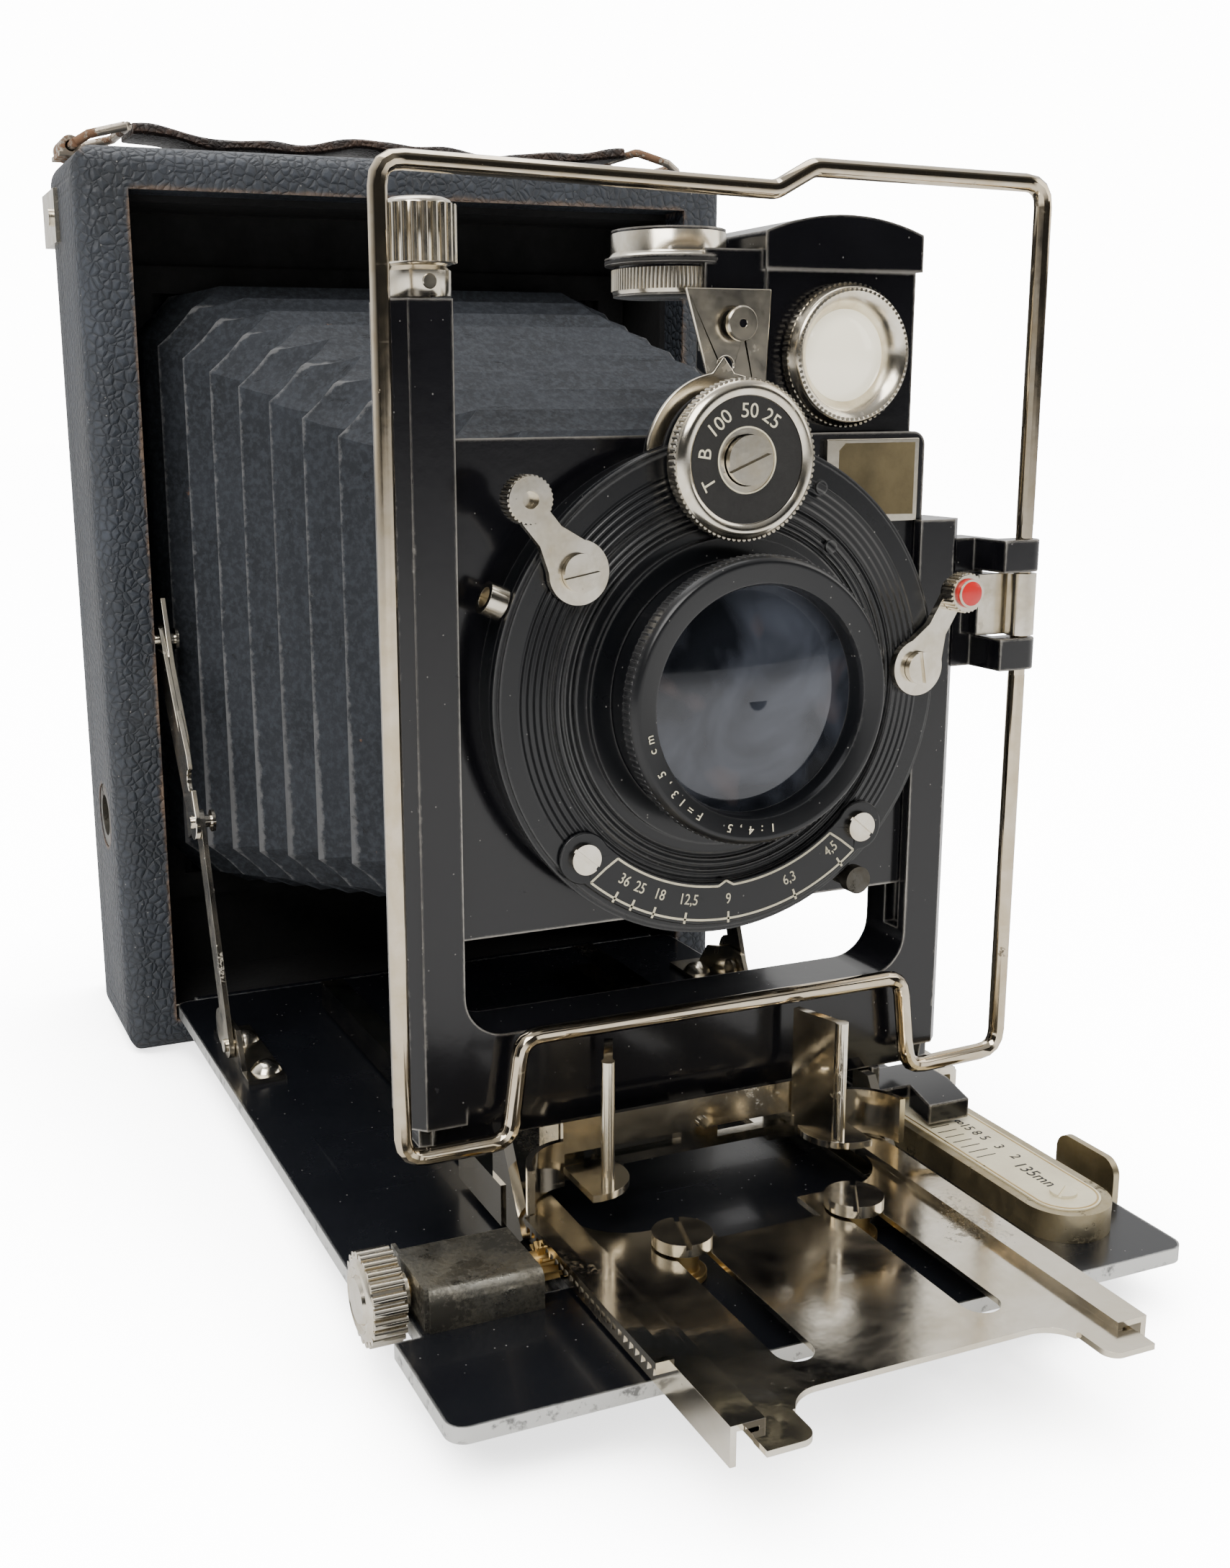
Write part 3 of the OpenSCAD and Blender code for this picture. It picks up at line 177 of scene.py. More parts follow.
def pebble_group():
    """Pebbled leather grain: the height of rounded cells with fine pores over them."""
    group, given, result = new_group("Leather pebble", [("Scale", 520.0), ("Pores", 0.2)],
                                     [("Height", "NodeSocketFloat"), ("Valley", "NodeSocketFloat")])
    place = node(group, "ShaderNodeTexCoord").outputs["Object"]
    warp = node(group, "ShaderNodeTexNoise", {"Vector": place, "Scale": 300.0, "Detail": 2.0})
    bent = node(group, "ShaderNodeVectorMath", {0: warp.outputs["Color"], 1: (0.0016, 0.0016, 0.0016)},
                operation="MULTIPLY_ADD")
    group.links.new(place, bent.inputs[2])
    cells = node(group, "ShaderNodeTexVoronoi", {"Vector": bent.outputs[0], "Scale": given.outputs["Scale"],
                 "Randomness": 0.9}, feature="DISTANCE_TO_EDGE")
    hill = ramp(group, cells.outputs["Distance"], 0.0, 0.32)
    pores = math_node(group, "MULTIPLY", noise(group, place, 5200.0, 3.0), given.outputs["Pores"])
    group.links.new(math_node(group, "ADD", math_node(group, "POWER", hill, 0.6), pores),
        result.inputs["Height"])
    group.links.new(math_node(group, "SUBTRACT", 1.0, hill), result.inputs["Valley"])
    return group


def tarnish_group():
    """Dark blooms in old plating, with small pits round them."""
    group, given, result = new_group("Tarnish",
        [("Scale", 55.0), ("Cover", 0.35), ("Grit", 1400.0), ("Soft", 0.06)],
                                     [("Mask", "NodeSocketFloat"), ("Haze", "NodeSocketFloat")])
    place = node(group, "ShaderNodeTexCoord").outputs["Object"]
    broad = noise(group, place, given.outputs["Scale"], 6.0, 0.62, 0.4)
    grit = noise(group, place, given.outputs["Grit"], 4.0, 0.7)
    both = math_node(group, "ADD", broad,
        math_node(group, "MULTIPLY", math_node(group, "SUBTRACT", grit, 0.5), 0.4))
    edge = math_node(group, "SUBTRACT", 1.0, given.outputs["Cover"])
    mask = node(group, "ShaderNodeMapRange",
        {0: both, 1: edge, 2: math_node(group, "ADD", edge, given.outputs["Soft"])}, clamp=True)
    haze = node(group, "ShaderNodeMapRange", {0: broad, 1: 0.35, 2: 0.75}, clamp=True)
    group.links.new(mask.outputs[0], result.inputs["Mask"])
    group.links.new(haze.outputs[0], result.inputs["Haze"])
    return group


def scratch_group():
    """Hairline scratches in two directions."""
    group, given, result = new_group("Scratches", [("Scale", 260.0), ("Amount", 0.5)],
        [("Mask", "NodeSocketFloat")])
    place = node(group, "ShaderNodeTexCoord").outputs["Object"]
    total = None
    for turn, stretch in ((0.5, (1.0, 0.03, 1.0)), (-1.1, (0.03, 1.0, 1.0))):
        turned = node(group, "ShaderNodeMapping",
            {"Vector": place, "Rotation": (turn * 0.3, turn * 0.2, turn),
                      "Scale": stretch}).outputs[0]
        lines = noise(group, turned, given.outputs["Scale"], 3.0, 0.7)
        mask = ramp(group, math_node(group, "ADD", lines,
            math_node(group, "MULTIPLY", given.outputs["Amount"], 0.1)),
                    0.72, 0.78)
        total = mask if total is None else math_node(group, "MAXIMUM", total, mask)
    group.links.new(total, result.inputs["Mask"])
    return group


def effect(tree, group, output, **values):
    made = tree.nodes.new("ShaderNodeGroup")
    made.node_tree = bpy.data.node_groups[group]
    for key, value in values.items():
        socket = made.inputs[key.replace("_", " ")]
        if isinstance(value, bpy.types.NodeSocket):
            tree.links.new(value, socket)
        else:
            socket.default_value = value
    return made.outputs[output]


# ---------------------------------------------------------------- materials

MADE = {}  # finishes by name: the frame brings in plain ones under some of the same names


def start_material(name):
    material = bpy.data.materials.new(name)
    MADE[name] = material
    material.use_nodes = True
    tree = material.node_tree
    tree.nodes.clear()
    shader = node(tree, "ShaderNodeBsdfPrincipled")
    out = node(tree, "ShaderNodeOutputMaterial", {"Surface": shader.outputs[0]})
    out.location = (300, 0)
    return material, tree, shader


def feed(tree, socket, value):
    if isinstance(value, bpy.types.NodeSocket):
        tree.links.new(value, socket)
    else:
        socket.default_value = value


def bump(tree, shader, height, distance, strength=1.0):
    made = node(tree, "ShaderNodeBump", {"Height": height, "Distance": distance, "Strength": strength})
    tree.links.new(made.outputs[0], shader.inputs["Normal"])


def nickel(name, color, dark=(0.05, 0.045, 0.035), rough=0.16, cover=0.3, scale=55.0, haze=0.22, wave=0.25,
           brushed=(1.0, 1.0, 1.0), soft=0.06):
    """Old nickel plate: warm, with dark blooms, pits, haze and hairlines."""
    material, tree, shader = start_material(name)
    mask = effect(tree, "Tarnish", "Mask", Scale=scale, Cover=cover, Soft=soft)
    cloud = effect(tree, "Tarnish", "Haze", Scale=scale * 1.7, Cover=cover)
    lines = effect(tree, "Scratches", "Mask", Amount=0.5)
    warm = blend_colors(tree, cloud, rgba(color), rgba((color[0] * 0.8, color[1] * 0.75, color[2] * 0.64)))
    tinted = blend_colors(tree, math_node(tree, "MULTIPLY", mask, 0.8), warm, rgba(dark))
    feed(tree, shader.inputs["Base Color"], tinted)
    shader.inputs["Metallic"].default_value = 1.0
    hazy = math_node(tree, "MULTIPLY_ADD", cloud, haze)
    hazy.node.inputs[2].default_value = rough
    worn = math_node(tree, "ADD", hazy, math_node(tree, "MULTIPLY", mask, 0.3))
    feed(tree, shader.inputs["Roughness"],
        math_node(tree, "ADD", worn, math_node(tree, "MULTIPLY", lines, 0.15), True))
    place = object_place(tree, brushed)
    rolling = noise(tree, place, 180.0, 3.0)
    height = math_node(tree, "ADD", math_node(tree, "MULTIPLY", rolling, wave),
        math_node(tree, "MULTIPLY", mask, -0.3))
    bump(tree, shader, height, 0.00012)
    return material


def enamel(name, color=(0.003, 0.003, 0.004), chip=(0.62, 0.6, 0.55), rough=0.16, wear=-0.12, metal=0.9,
        ripple=0.12,
           side_metal=None, grooved=False):
    """Black stove enamel with chipped edges, dust and faint scratches."""
    material, tree, shader = start_material(name)
    chips = effect(tree, "Edge wear", "Mask", Radius=0.0007, Gain=5.0, Bias=wear)
    dust = effect(tree, "Dust specks", "Mask", Scale=1300.0, Amount=0.05)
    lines = effect(tree, "Scratches", "Mask", Amount=0.25)
    cloud = noise(tree, object_place(tree), 60.0, 5.0)
    base = blend_colors(tree, cloud, rgba(color), rgba([c * 2.2 for c in color]))
    if side_metal is not None:
        normal = node(tree, "ShaderNodeNewGeometry").outputs["True Normal"]
        up = node(tree, "ShaderNodeSeparateXYZ", {0: normal}).outputs[2]
        side = ramp(tree, math_node(tree, "ABSOLUTE", up), 0.5, 0.7, 1.0, 0.0)
        ragged = ramp(tree, noise(tree, object_place(tree), 420.0, 5.0, 0.65), 0.36, 0.46, 0.25, 1.0)
        chips = math_node(tree, "MAXIMUM", chips, math_node(tree, "MULTIPLY", side, ragged))
    dusty = blend_colors(tree, math_node(tree, "MULTIPLY", dust, 0.5), base, (0.35, 0.34, 0.32, 1.0))
    feed(tree, shader.inputs["Base Color"], blend_colors(tree, chips, dusty, rgba(chip)))
    feed(tree, shader.inputs["Metallic"], math_node(tree, "MULTIPLY", chips, metal))
    spread = math_node(tree, "MULTIPLY_ADD", cloud, 0.16)
    spread.node.inputs[2].default_value = rough
    total = math_node(tree, "ADD", spread,
        math_node(tree, "MULTIPLY", math_node(tree, "MAXIMUM", lines, chips), 0.22))
    feed(tree, shader.inputs["Roughness"],
        math_node(tree, "ADD", total, math_node(tree, "MULTIPLY", dust, 0.4), True))
    shader.inputs["Specular IOR Level"].default_value = 0.38
    shader.inputs["Coat Weight"].default_value = 0.15
    shader.inputs["Coat Roughness"].default_value = 0.08
    rolling = noise(tree, object_place(tree), 420.0, 3.0)
    height = math_node(tree, "SUBTRACT", math_node(tree, "MULTIPLY", rolling, ripple),
        math_node(tree, "MULTIPLY", chips, 0.5))
    if grooved:
        height = math_node(tree, "ADD", height, turned_grooves(tree))
    bump(tree, shader, height, 0.00012)
    return material


def turned_grooves(tree):
    """Fine grooves turned round the lens's axis."""
    xyz = node(tree, "ShaderNodeSeparateXYZ", {0: node(tree, "ShaderNodeTexCoord").outputs["Object"]})
    across = math_node(tree, "SUBTRACT", xyz.outputs[0], LENS_X * MM)
    upward = math_node(tree, "SUBTRACT", xyz.outputs[2], LENS_Z * MM)
    radius = math_node(tree, "SQRT", math_node(tree, "ADD", math_node(tree, "MULTIPLY", across, across),
                       math_node(tree, "MULTIPLY", upward, upward)))
    wave = math_node(tree, "SINE", math_node(tree, "MULTIPLY", radius, math.tau / 0.00095))
    outer = math_node(tree, "MULTIPLY", ramp(tree, radius, 0.0222, 0.0226),
        ramp(tree, radius, 0.0305, 0.0309, 1.0, 0.0))
    return math_node(tree, "MULTIPLY", math_node(tree, "MULTIPLY", wave, outer), 0.9)


def leather(name, color, worn=(0.24, 0.15, 0.085), scale=520.0, depth=0.00045, wear=-0.16, lined=False,
        rough=0.5):
    """Grained leather over a wooden body, rubbed through to tan along its edges."""
    material, tree, shader = start_material(name)
    height = effect(tree, "Leather pebble", "Height", Scale=scale)
    valley = effect(tree, "Leather pebble", "Valley", Scale=scale)
    rubbed = effect(tree, "Edge wear", "Mask", Radius=0.0022, Gain=2.0, Break_scale=420.0, Break=0.95,
        Bias=wear)
    dust = effect(tree, "Dust specks", "Mask", Scale=1100.0, Amount=0.07)
    cloud = noise(tree, object_place(tree), 45.0, 5.0, 0.6)
    lighter = (color[0] * 1.75 + 0.004, color[1] * 1.75 + 0.005, color[2] * 1.8 + 0.007)
    base = blend_colors(tree, ramp(tree, cloud, 0.3, 0.7), rgba(color), rgba(lighter))
    deep = blend_colors(tree, math_node(tree, "MULTIPLY", valley, 0.5), base,
        rgba([c * 0.3 for c in color]))
    dusty = blend_colors(tree, math_node(tree, "MULTIPLY", dust, 0.55), deep, (0.4, 0.38, 0.35, 1.0))
    feed(tree, shader.inputs["Base Color"],
        blend_colors(tree, math_node(tree, "MULTIPLY", rubbed, 0.85), dusty, rgba(worn)))
    feed(tree, shader.inputs["Roughness"], ramp(tree, cloud, 0.2, 0.8, rough - 0.06, rough + 0.14))
    shader.inputs["Specular IOR Level"].default_value = 0.45
    total = height
    if lined:
        total = math_node(tree, "SUBTRACT", height, math_node(tree, "MULTIPLY", panel_lines(tree), 1.6))
    bump(tree, shader, total, depth)
    return material


def panel_lines(tree):
    """Pressed double border on the two side walls, by height and depth on the body."""
    place = node(tree, "ShaderNodeTexCoord").outputs["Object"]
    xyz = node(tree, "ShaderNodeSeparateXYZ", {0: place})
    total = None
    side = math_node(tree, "GREATER_THAN", math_node(tree, "ABSOLUTE", xyz.outputs[0]), 0.0632)
    for inset in (0.0, 2.2):
        centre_y, half_y = (FRONT_Y + 13.5) * MM, (9.2 - inset) * MM
        centre_z, half_z = 83.7 * MM, (78.5 - inset) * MM
        dy = math_node(tree, "SUBTRACT", math_node(tree, "ABSOLUTE",
            math_node(tree, "SUBTRACT", xyz.outputs[1], centre_y)), half_y)
        dz = math_node(tree, "SUBTRACT", math_node(tree, "ABSOLUTE",
            math_node(tree, "SUBTRACT", xyz.outputs[2], centre_z)), half_z)
        line = ramp(tree, math_node(tree, "ABSOLUTE", math_node(tree, "MAXIMUM", dy, dz)), 0.0001, 0.00045,
            1.0, 0.0)
        total = line if total is None else math_node(tree, "MAXIMUM", total, line)
    return math_node(tree, "MULTIPLY", total, side)


def bellows_cloth(name, color):
    """Thin grained leatherette, cracked across and rubbed along its fold tips."""
    material, tree, shader = start_material(name)
    place = object_place(tree)
    fine = noise(tree, place, 2600.0, 5.0, 0.7)
    cracks_place = object_place(tree, (0.25, 1.0, 1.0))
    cracks = noise(tree, cracks_place, 420.0, 6.0, 0.7, 0.4)
    cracked = ramp(tree, cracks, 0.62, 0.7)
    broad = noise(tree, place, 70.0, 4.0, 0.6)
    rub = node(tree, "ShaderNodeAttribute", attribute_name="tip").outputs["Fac"]
    rubbed = ramp(tree, math_node(tree, "ADD", rub,
        math_node(tree, "MULTIPLY", noise(tree, place, 650.0, 5.0, 0.7), 0.9)),
                  1.28, 1.5)
    spots = ramp(tree, noise(tree, place, 160.0, 5.0, 0.65), 0.72, 0.75)
    lighter = (color[0] * 1.8, color[1] * 1.8, color[2] * 1.85)
    grain = noise(tree, place, 900.0, 4.0, 0.6)
    patched = blend_colors(tree, ramp(tree, broad, 0.3, 0.75), rgba(color), rgba(lighter))
    base = blend_colors(tree, ramp(tree, grain, 0.44, 0.62, 0.0, 0.75), patched,
        rgba([c * 2.6 for c in color]))
    grey = blend_colors(tree, math_node(tree, "MULTIPLY", rubbed, 0.5), base, (0.2, 0.2, 0.2, 1.0))
    brown = blend_colors(tree, math_node(tree, "MULTIPLY", spots, 0.7), grey, (0.16, 0.085, 0.05, 1.0))
    feed(tree, shader.inputs["Base Color"],
        blend_colors(tree, math_node(tree, "MULTIPLY", cracked, 0.5), brown, (0.012, 0.012, 0.013, 1.0)))
    feed(tree, shader.inputs["Roughness"], ramp(tree, fine, 0.3, 0.75, 0.6, 0.85))
    shader.inputs["Specular IOR Level"].default_value = 0.25
    height = math_node(tree, "SUBTRACT", math_node(tree, "MULTIPLY", grain, 0.3),
        math_node(tree, "MULTIPLY", cracked, 0.35))
    bump(tree, shader, math_node(tree, "ADD", height,
        math_node(tree, "MULTIPLY", noise(tree, place, 130.0, 3.0), 1.6)), 0.00025)
    return material


def plain_finish(name, color, rough=0.5, metallic=0.0, grain=900.0, depth=0.00006, vary=0.35, coat=0.0,
        emission=0.0):
    """Paint, ivory or a bright lacquer with slight staining and grain; an emission value gives a painted glow."""
    material, tree, shader = start_material(name)
    cloud = noise(tree, object_place(tree), grain * 0.25, 5.0, 0.6)
    darker = rgba([c * (1.0 - vary) for c in color])
    feed(tree, shader.inputs["Base Color"],
        blend_colors(tree, ramp(tree, cloud, 0.4, 0.8), rgba(color), darker))
    feed(tree, shader.inputs["Roughness"], ramp(tree, cloud, 0.2, 0.8, rough, min(1.0, rough + 0.2)))
    shader.inputs["Metallic"].default_value = metallic
    shader.inputs["Coat Weight"].default_value = coat
    # Emission paints a glow on a part that is no lamp.
    if emission:
        shader.inputs["Emission Color"].default_value = rgba(color)
        shader.inputs["Emission Strength"].default_value = emission
    bump(tree, shader, noise(tree, object_place(tree), grain, 3.0), depth)
    return material


def rusty_steel(name):
    material, tree, shader = start_material(name)
    rust = effect(tree, "Tarnish", "Mask", Scale=150.0, Cover=0.5, Grit=900.0)
    cloud = noise(tree, object_place(tree), 320.0, 6.0, 0.7)
    brown = blend_colors(tree, cloud, (0.16, 0.075, 0.035, 1.0), (0.33, 0.2, 0.12, 1.0))
    feed(tree, shader.inputs["Base Color"], blend_colors(tree, rust, (0.5, 0.44, 0.36, 1.0), brown))
    feed(tree, shader.inputs["Metallic"], ramp(tree, rust, 0.0, 1.0, 0.9, 0.1))
    feed(tree, shader.inputs["Roughness"], ramp(tree, rust, 0.0, 1.0, 0.35, 0.8))
    bump(tree, shader, math_node(tree, "MULTIPLY", cloud, rust), 0.0003)
    return material


def lens_glass(name, tint, rough=0.02, coat=0.3):
    material, tree, shader = start_material(name)
    shader.inputs["Base Color"].default_value = rgba(tint)
    shader.inputs["Transmission Weight"].default_value = 1.0
    shader.inputs["IOR"].default_value = 1.6
    smear = noise(tree, object_place(tree), 110.0, 6.0, 0.6)
    feed(tree, shader.inputs["Roughness"], ramp(tree, smear, 0.45, 0.8, rough, rough + 0.12))
    shader.inputs["Coat Weight"].default_value = coat
    shader.inputs["Coat Tint"].default_value = (0.75, 0.83, 1.0, 1.0)
    return material


def dark_glass(name):
    """The front element over its dark barrel, opaque: a hazy violet pool of painted depth and inner reflections,
    with a warm painted reflection in a bloom.
    """
    material, tree, shader = start_material(name)
    place = object_place(tree)
    broad = noise(tree, place, 75.0, 3.0, 0.5, 0.6)
    smear = noise(tree, place, 160.0, 6.0, 0.62)
    # Near black to a faint violet by noise: painted depth and inner reflections of the glass.
    painted_depth_and_reflection = blend_colors(tree, ramp(tree, broad, 0.36, 0.64), (0.006, 0.007, 0.009, 1.0),
        (0.06, 0.066, 0.08, 1.0))
    # A warm bloom mixed in is a painted reflection.
    warm = blend_colors(tree, ramp(tree, noise(tree, place, 95.0, 2.0, 0.4, 0.3), 0.6, 0.72, 0.0, 0.5),
        painted_depth_and_reflection, (0.11, 0.075, 0.065, 1.0))
    feed(tree, shader.inputs["Base Color"], warm)
    feed(tree, shader.inputs["Roughness"], ramp(tree, smear, 0.4, 0.8, 0.04, 0.2))
    shader.inputs["Specular IOR Level"].default_value = 0.6
    shader.inputs["Coat Weight"].default_value = 0.25
    shader.inputs["Coat Tint"].default_value = (0.7, 0.78, 1.0, 1.0)
    return material


def make_materials(settings):
    for build in (edge_wear_group, dust_group, pebble_group, tarnish_group, scratch_group):
        build()
    leather_color = settings.leather_color
    plate = settings.nickel_color
    leather("body_leather", leather_color, scale=640.0, depth=0.00028, wear=-0.08, lined=True)
    leather("back_leather", [c * 0.8 for c in leather_color], scale=520.0, depth=0.0004)
    plain_finish("inner_black", (0.0025, 0.0025, 0.003), rough=0.75, grain=700.0, depth=0.0001, vary=0.1)
    nickel("nickel_mirror", plate, dark=(0.03, 0.028, 0.024), rough=0.05, cover=0.36, scale=34.0, haze=0.26,
        wave=0.25, soft=0.12)
    nickel("worn_plate", (0.5, 0.48, 0.42), dark=(0.01, 0.011, 0.012), rough=0.2, cover=0.62, scale=75.0,
        haze=0.2, soft=0.2)
    nickel("nickel_polished", plate, rough=0.12, cover=0.34, scale=60.0, haze=0.2)
    nickel("nickel_satin", [c * 0.93 for c in plate], rough=0.15, cover=0.27, scale=170.0, haze=0.14,
        wave=0.3)
    nickel("nickel_wire", (0.62, 0.54, 0.42), rough=0.07, cover=0.3, scale=140.0, haze=0.1, wave=0.1)
    nickel("aged_brass", (0.47, 0.41, 0.28), rough=0.28, cover=0.4, scale=120.0, haze=0.3)
    nickel("brass", (0.6, 0.44, 0.2), rough=0.3, cover=0.4, scale=150.0, haze=0.3)
    nickel("dark_steel", (0.1, 0.095, 0.085), rough=0.35, cover=0.4, scale=200.0, haze=0.3)
    enamel("black_enamel", chip=(0.55, 0.52, 0.47), rough=0.09)
    enamel("grooved_enamel", color=(0.0025, 0.0028, 0.0036), chip=(0.1, 0.1, 0.1), rough=0.2, wear=-0.45,
        metal=0.3, grooved=True)
    enamel("shutter_enamel", color=(0.0025, 0.0028, 0.0036), chip=(0.1, 0.1, 0.1), rough=0.27, wear=-0.45,
        metal=0.3, ripple=0.15)
    enamel("bed_enamel", color=(0.0035, 0.004, 0.0055), chip=(0.72, 0.72, 0.7), rough=0.18, wear=-0.02,
        side_metal=True)
    leather("strap_leather", (0.018, 0.0125, 0.0105), worn=(0.12, 0.065, 0.038), scale=900.0, depth=0.0003,
        wear=0.1)
    rusty_steel("rusty_steel")
    plain_finish("ivory", (0.86, 0.78, 0.55), rough=0.3, grain=500.0, vary=0.25, coat=0.2)
    plain_finish("cream_inlay", settings.numeral_color, rough=0.5, grain=3000.0, vary=0.2)
    plain_finish("black_inlay", (0.012, 0.011, 0.01), rough=0.5, grain=3000.0, vary=0.2)
    plain_finish("red_lacquer", (0.72, 0.012, 0.012), rough=0.28, grain=900.0, vary=0.2, coat=0.4)
    plain_finish("old_paper", (0.13, 0.1, 0.045), rough=0.75, grain=500.0, depth=0.0002, vary=0.6)
    bellows_cloth("bellows_cloth", settings.bellows_color)
    # The front glass is opaque, with painted depth and reflections in its base colour.
    dark_glass("front_glass")
    lens_glass("lens_glass", (0.8, 0.85, 0.92), coat=0.1)
    lens_glass("screen_glass", (0.85, 0.9, 0.88), rough=0.4)
    # The finder glass is cream and glows by emission: a painted glow.
    plain_finish("finder_glass", (0.78, 0.73, 0.58), rough=0.12, grain=240.0, vary=0.16, coat=0.8,
        emission=1.3)


def finish_of(name):
    return MADE[name]


# ---------------------------------------------------------------- mesh helpers

def new_piece(name, mesh, body, material, stands_for=(), smooth=35.0):
    """Link a finished mesh as a piece that rides on a body."""
    mesh.materials.clear()
    mesh.materials.append(finish_of(material))
    piece = bpy.data.objects.new(name, mesh)
    bpy.context.scene.collection.objects.link(piece)
    if smooth:
        mesh.shade_smooth()
        mesh.set_sharp_from_angle(angle=math.radians(smooth))
    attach(piece, body)
    if stands_for:
        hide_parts(*stands_for)
    return piece


def mesh_from(name, build):
    """Fill a bmesh with a function, turn its faces outwards and hand back the mesh."""
    work = bmesh.new()
    build(work)
    bmesh.ops.remove_doubles(work, verts=work.verts, dist=1e-7)
    bmesh.ops.recalc_face_normals(work, faces=work.faces)
    mesh = bpy.data.meshes.new(name)
    work.to_mesh(mesh)
    work.free()
    return mesh


def lathe(work, profile, matrix, segments=96, closed=False):
    """Turn a profile of (radius, height) points in mm about Z, then place it; ends on the axis close it."""
    rings = []
    for radius, height in profile:
        if radius < 1e-6:
            rings.append([work.verts.new(matrix @ Vector((0, 0, height * MM)))])
        else:
            rings.append([work.verts.new(matrix @ Vector((radius * math.cos(math.tau * k / segments) * MM,
                         radius * math.sin(math.tau * k / segments) * MM,
                             height * MM))) for k in range(segments)])
    pairs = list(zip(rings, rings[1:])) + ([(rings[-1], rings[0])] if closed else [])
    for a, b in pairs:
        for k in range(segments):
            n = (k + 1) % segments
            if len(a) == 1 and len(b) == 1:
                continue
            if len(a) == 1:
                work.faces.new((a[0], b[k], b[n]))
            elif len(b) == 1:
                work.faces.new((a[k], b[0], a[n]))
            else:
                work.faces.new((a[k], b[k], b[n], a[n]))


def facing_front(x, y, z):
    """A frame whose Z axis looks along -Y, with its origin at a point in mm."""
    return Matrix.Translation(Vector((x, y, z)) * MM) @ Matrix.Rotation(math.radians(90), 4, "X")


def upright(x, y, z):
    return Matrix.Translation(Vector((x, y, z)) * MM)


def tube(work, points, radius, sides=10):
    """A round tube through points in mm, capped at both ends."""
    path = [Vector(p) * MM for p in points]
    rings = []
    for i, p in enumerate(path):
        t = (path[min(i + 1, len(path) - 1)] - path[max(i - 1, 0)]).normalized()
        side = Vector((0, 1, 0)) if abs(t.y) < 0.9 else Vector((1, 0, 0))
        u = t.cross(side).normalized()
        v = t.cross(u).normalized()
        rings.append([work.verts.new(p + (u * math.cos(math.tau * k / sides) + v * math.sin(math.tau * k / sides))
                     * radius * MM) for k in range(sides)])
    for a, b in zip(rings, rings[1:]):
        for k in range(sides):
            work.faces.new((a[k], a[(k + 1) % sides], b[(k + 1) % sides], b[k]))
    work.faces.new(rings[0])
    work.faces.new(rings[-1])


def strip(work, points, y0, y1):
    """A closed flat band between two planes of Y, round the outline of (x, z) points in mm."""
    front = [work.verts.new(Vector((x, y0, z)) * MM) for x, z in points]
    back = [work.verts.new(Vector((x, y1, z)) * MM) for x, z in points]
    n = len(points)
    for k in range(n):
        work.faces.new((front[k], front[(k + 1) % n], back[(k + 1) % n], back[k]))
    work.faces.new(front)
    work.faces.new(list(reversed(back)))


def letters(words, height, matrix, spread=0.03):
    """Mesh of a generic number or letter, with its middle at the frame's origin; height in mm."""
    curve = bpy.data.curves.new("letters", "FONT")
    curve.body = words
    curve.size = height * MM * 1.4
    curve.align_x = "CENTER"
    curve.align_y = "CENTER"
    curve.extrude = spread * MM
    curve.resolution_u = 3
    holder = bpy.data.objects.new("letters", curve)
    bpy.context.scene.collection.objects.link(holder)
    bpy.context.view_layer.update()
    mesh = bpy.data.meshes.new_from_object(holder.evaluated_get(bpy.context.evaluated_depsgraph_get()))
    bpy.data.objects.remove(holder)
    bpy.data.curves.remove(curve)
    mesh.transform(matrix)
    return mesh


def join_meshes(name, meshes):
    work = bmesh.new()
    for mesh in meshes:
        work.from_mesh(mesh)
        bpy.data.meshes.remove(mesh)
    made = bpy.data.meshes.new(name)
    work.to_mesh(made)
    work.free()
    return made


# ---------------------------------------------------------------- geometry node trees

def rib_ring_tree():
    """Geometry nodes: a ring of rounded ribs round the Z axis, for knurls, flutes and milled edges."""
    tree = bpy.data.node_groups.new("Rib ring", "GeometryNodeTree")
    sockets = (("Count", "NodeSocketInt", 24), ("Radius", "NodeSocketFloat", 0.005),
        ("Length", "NodeSocketFloat", 0.005),
               ("Rib radius", "NodeSocketFloat", 0.0004), ("Rib sides", "NodeSocketInt", 8),
                   ("Material", "NodeSocketMaterial", None))
    for title, kind, default in sockets:
        socket = tree.interface.new_socket(title, in_out="INPUT", socket_type=kind)
        if default is not None:
            socket.default_value = default
    tree.interface.new_socket("Geometry", in_out="OUTPUT", socket_type="NodeSocketGeometry")
    given, result = tree.nodes.new("NodeGroupInput"), tree.nodes.new("NodeGroupOutput")
    circle = node(tree, "GeometryNodeMeshCircle",
        {"Vertices": given.outputs["Count"], "Radius": given.outputs["Radius"]})
    rib = node(tree, "GeometryNodeMeshCylinder",
        {"Vertices": given.outputs["Rib sides"], "Radius": given.outputs["Rib radius"],
               "Depth": given.outputs["Length"]}, fill_type="TRIANGLE_FAN")
    placed = node(tree, "GeometryNodeInstanceOnPoints",
        {"Points": circle.outputs["Mesh"], "Instance": rib.outputs["Mesh"]})
    real = node(tree, "GeometryNodeRealizeInstances", {0: placed.outputs[0]})
    painted = node(tree, "GeometryNodeSetMaterial",
        {"Geometry": real.outputs[0], "Material": given.outputs["Material"]})
    tree.links.new(painted.outputs[0], result.inputs[0])
    return tree


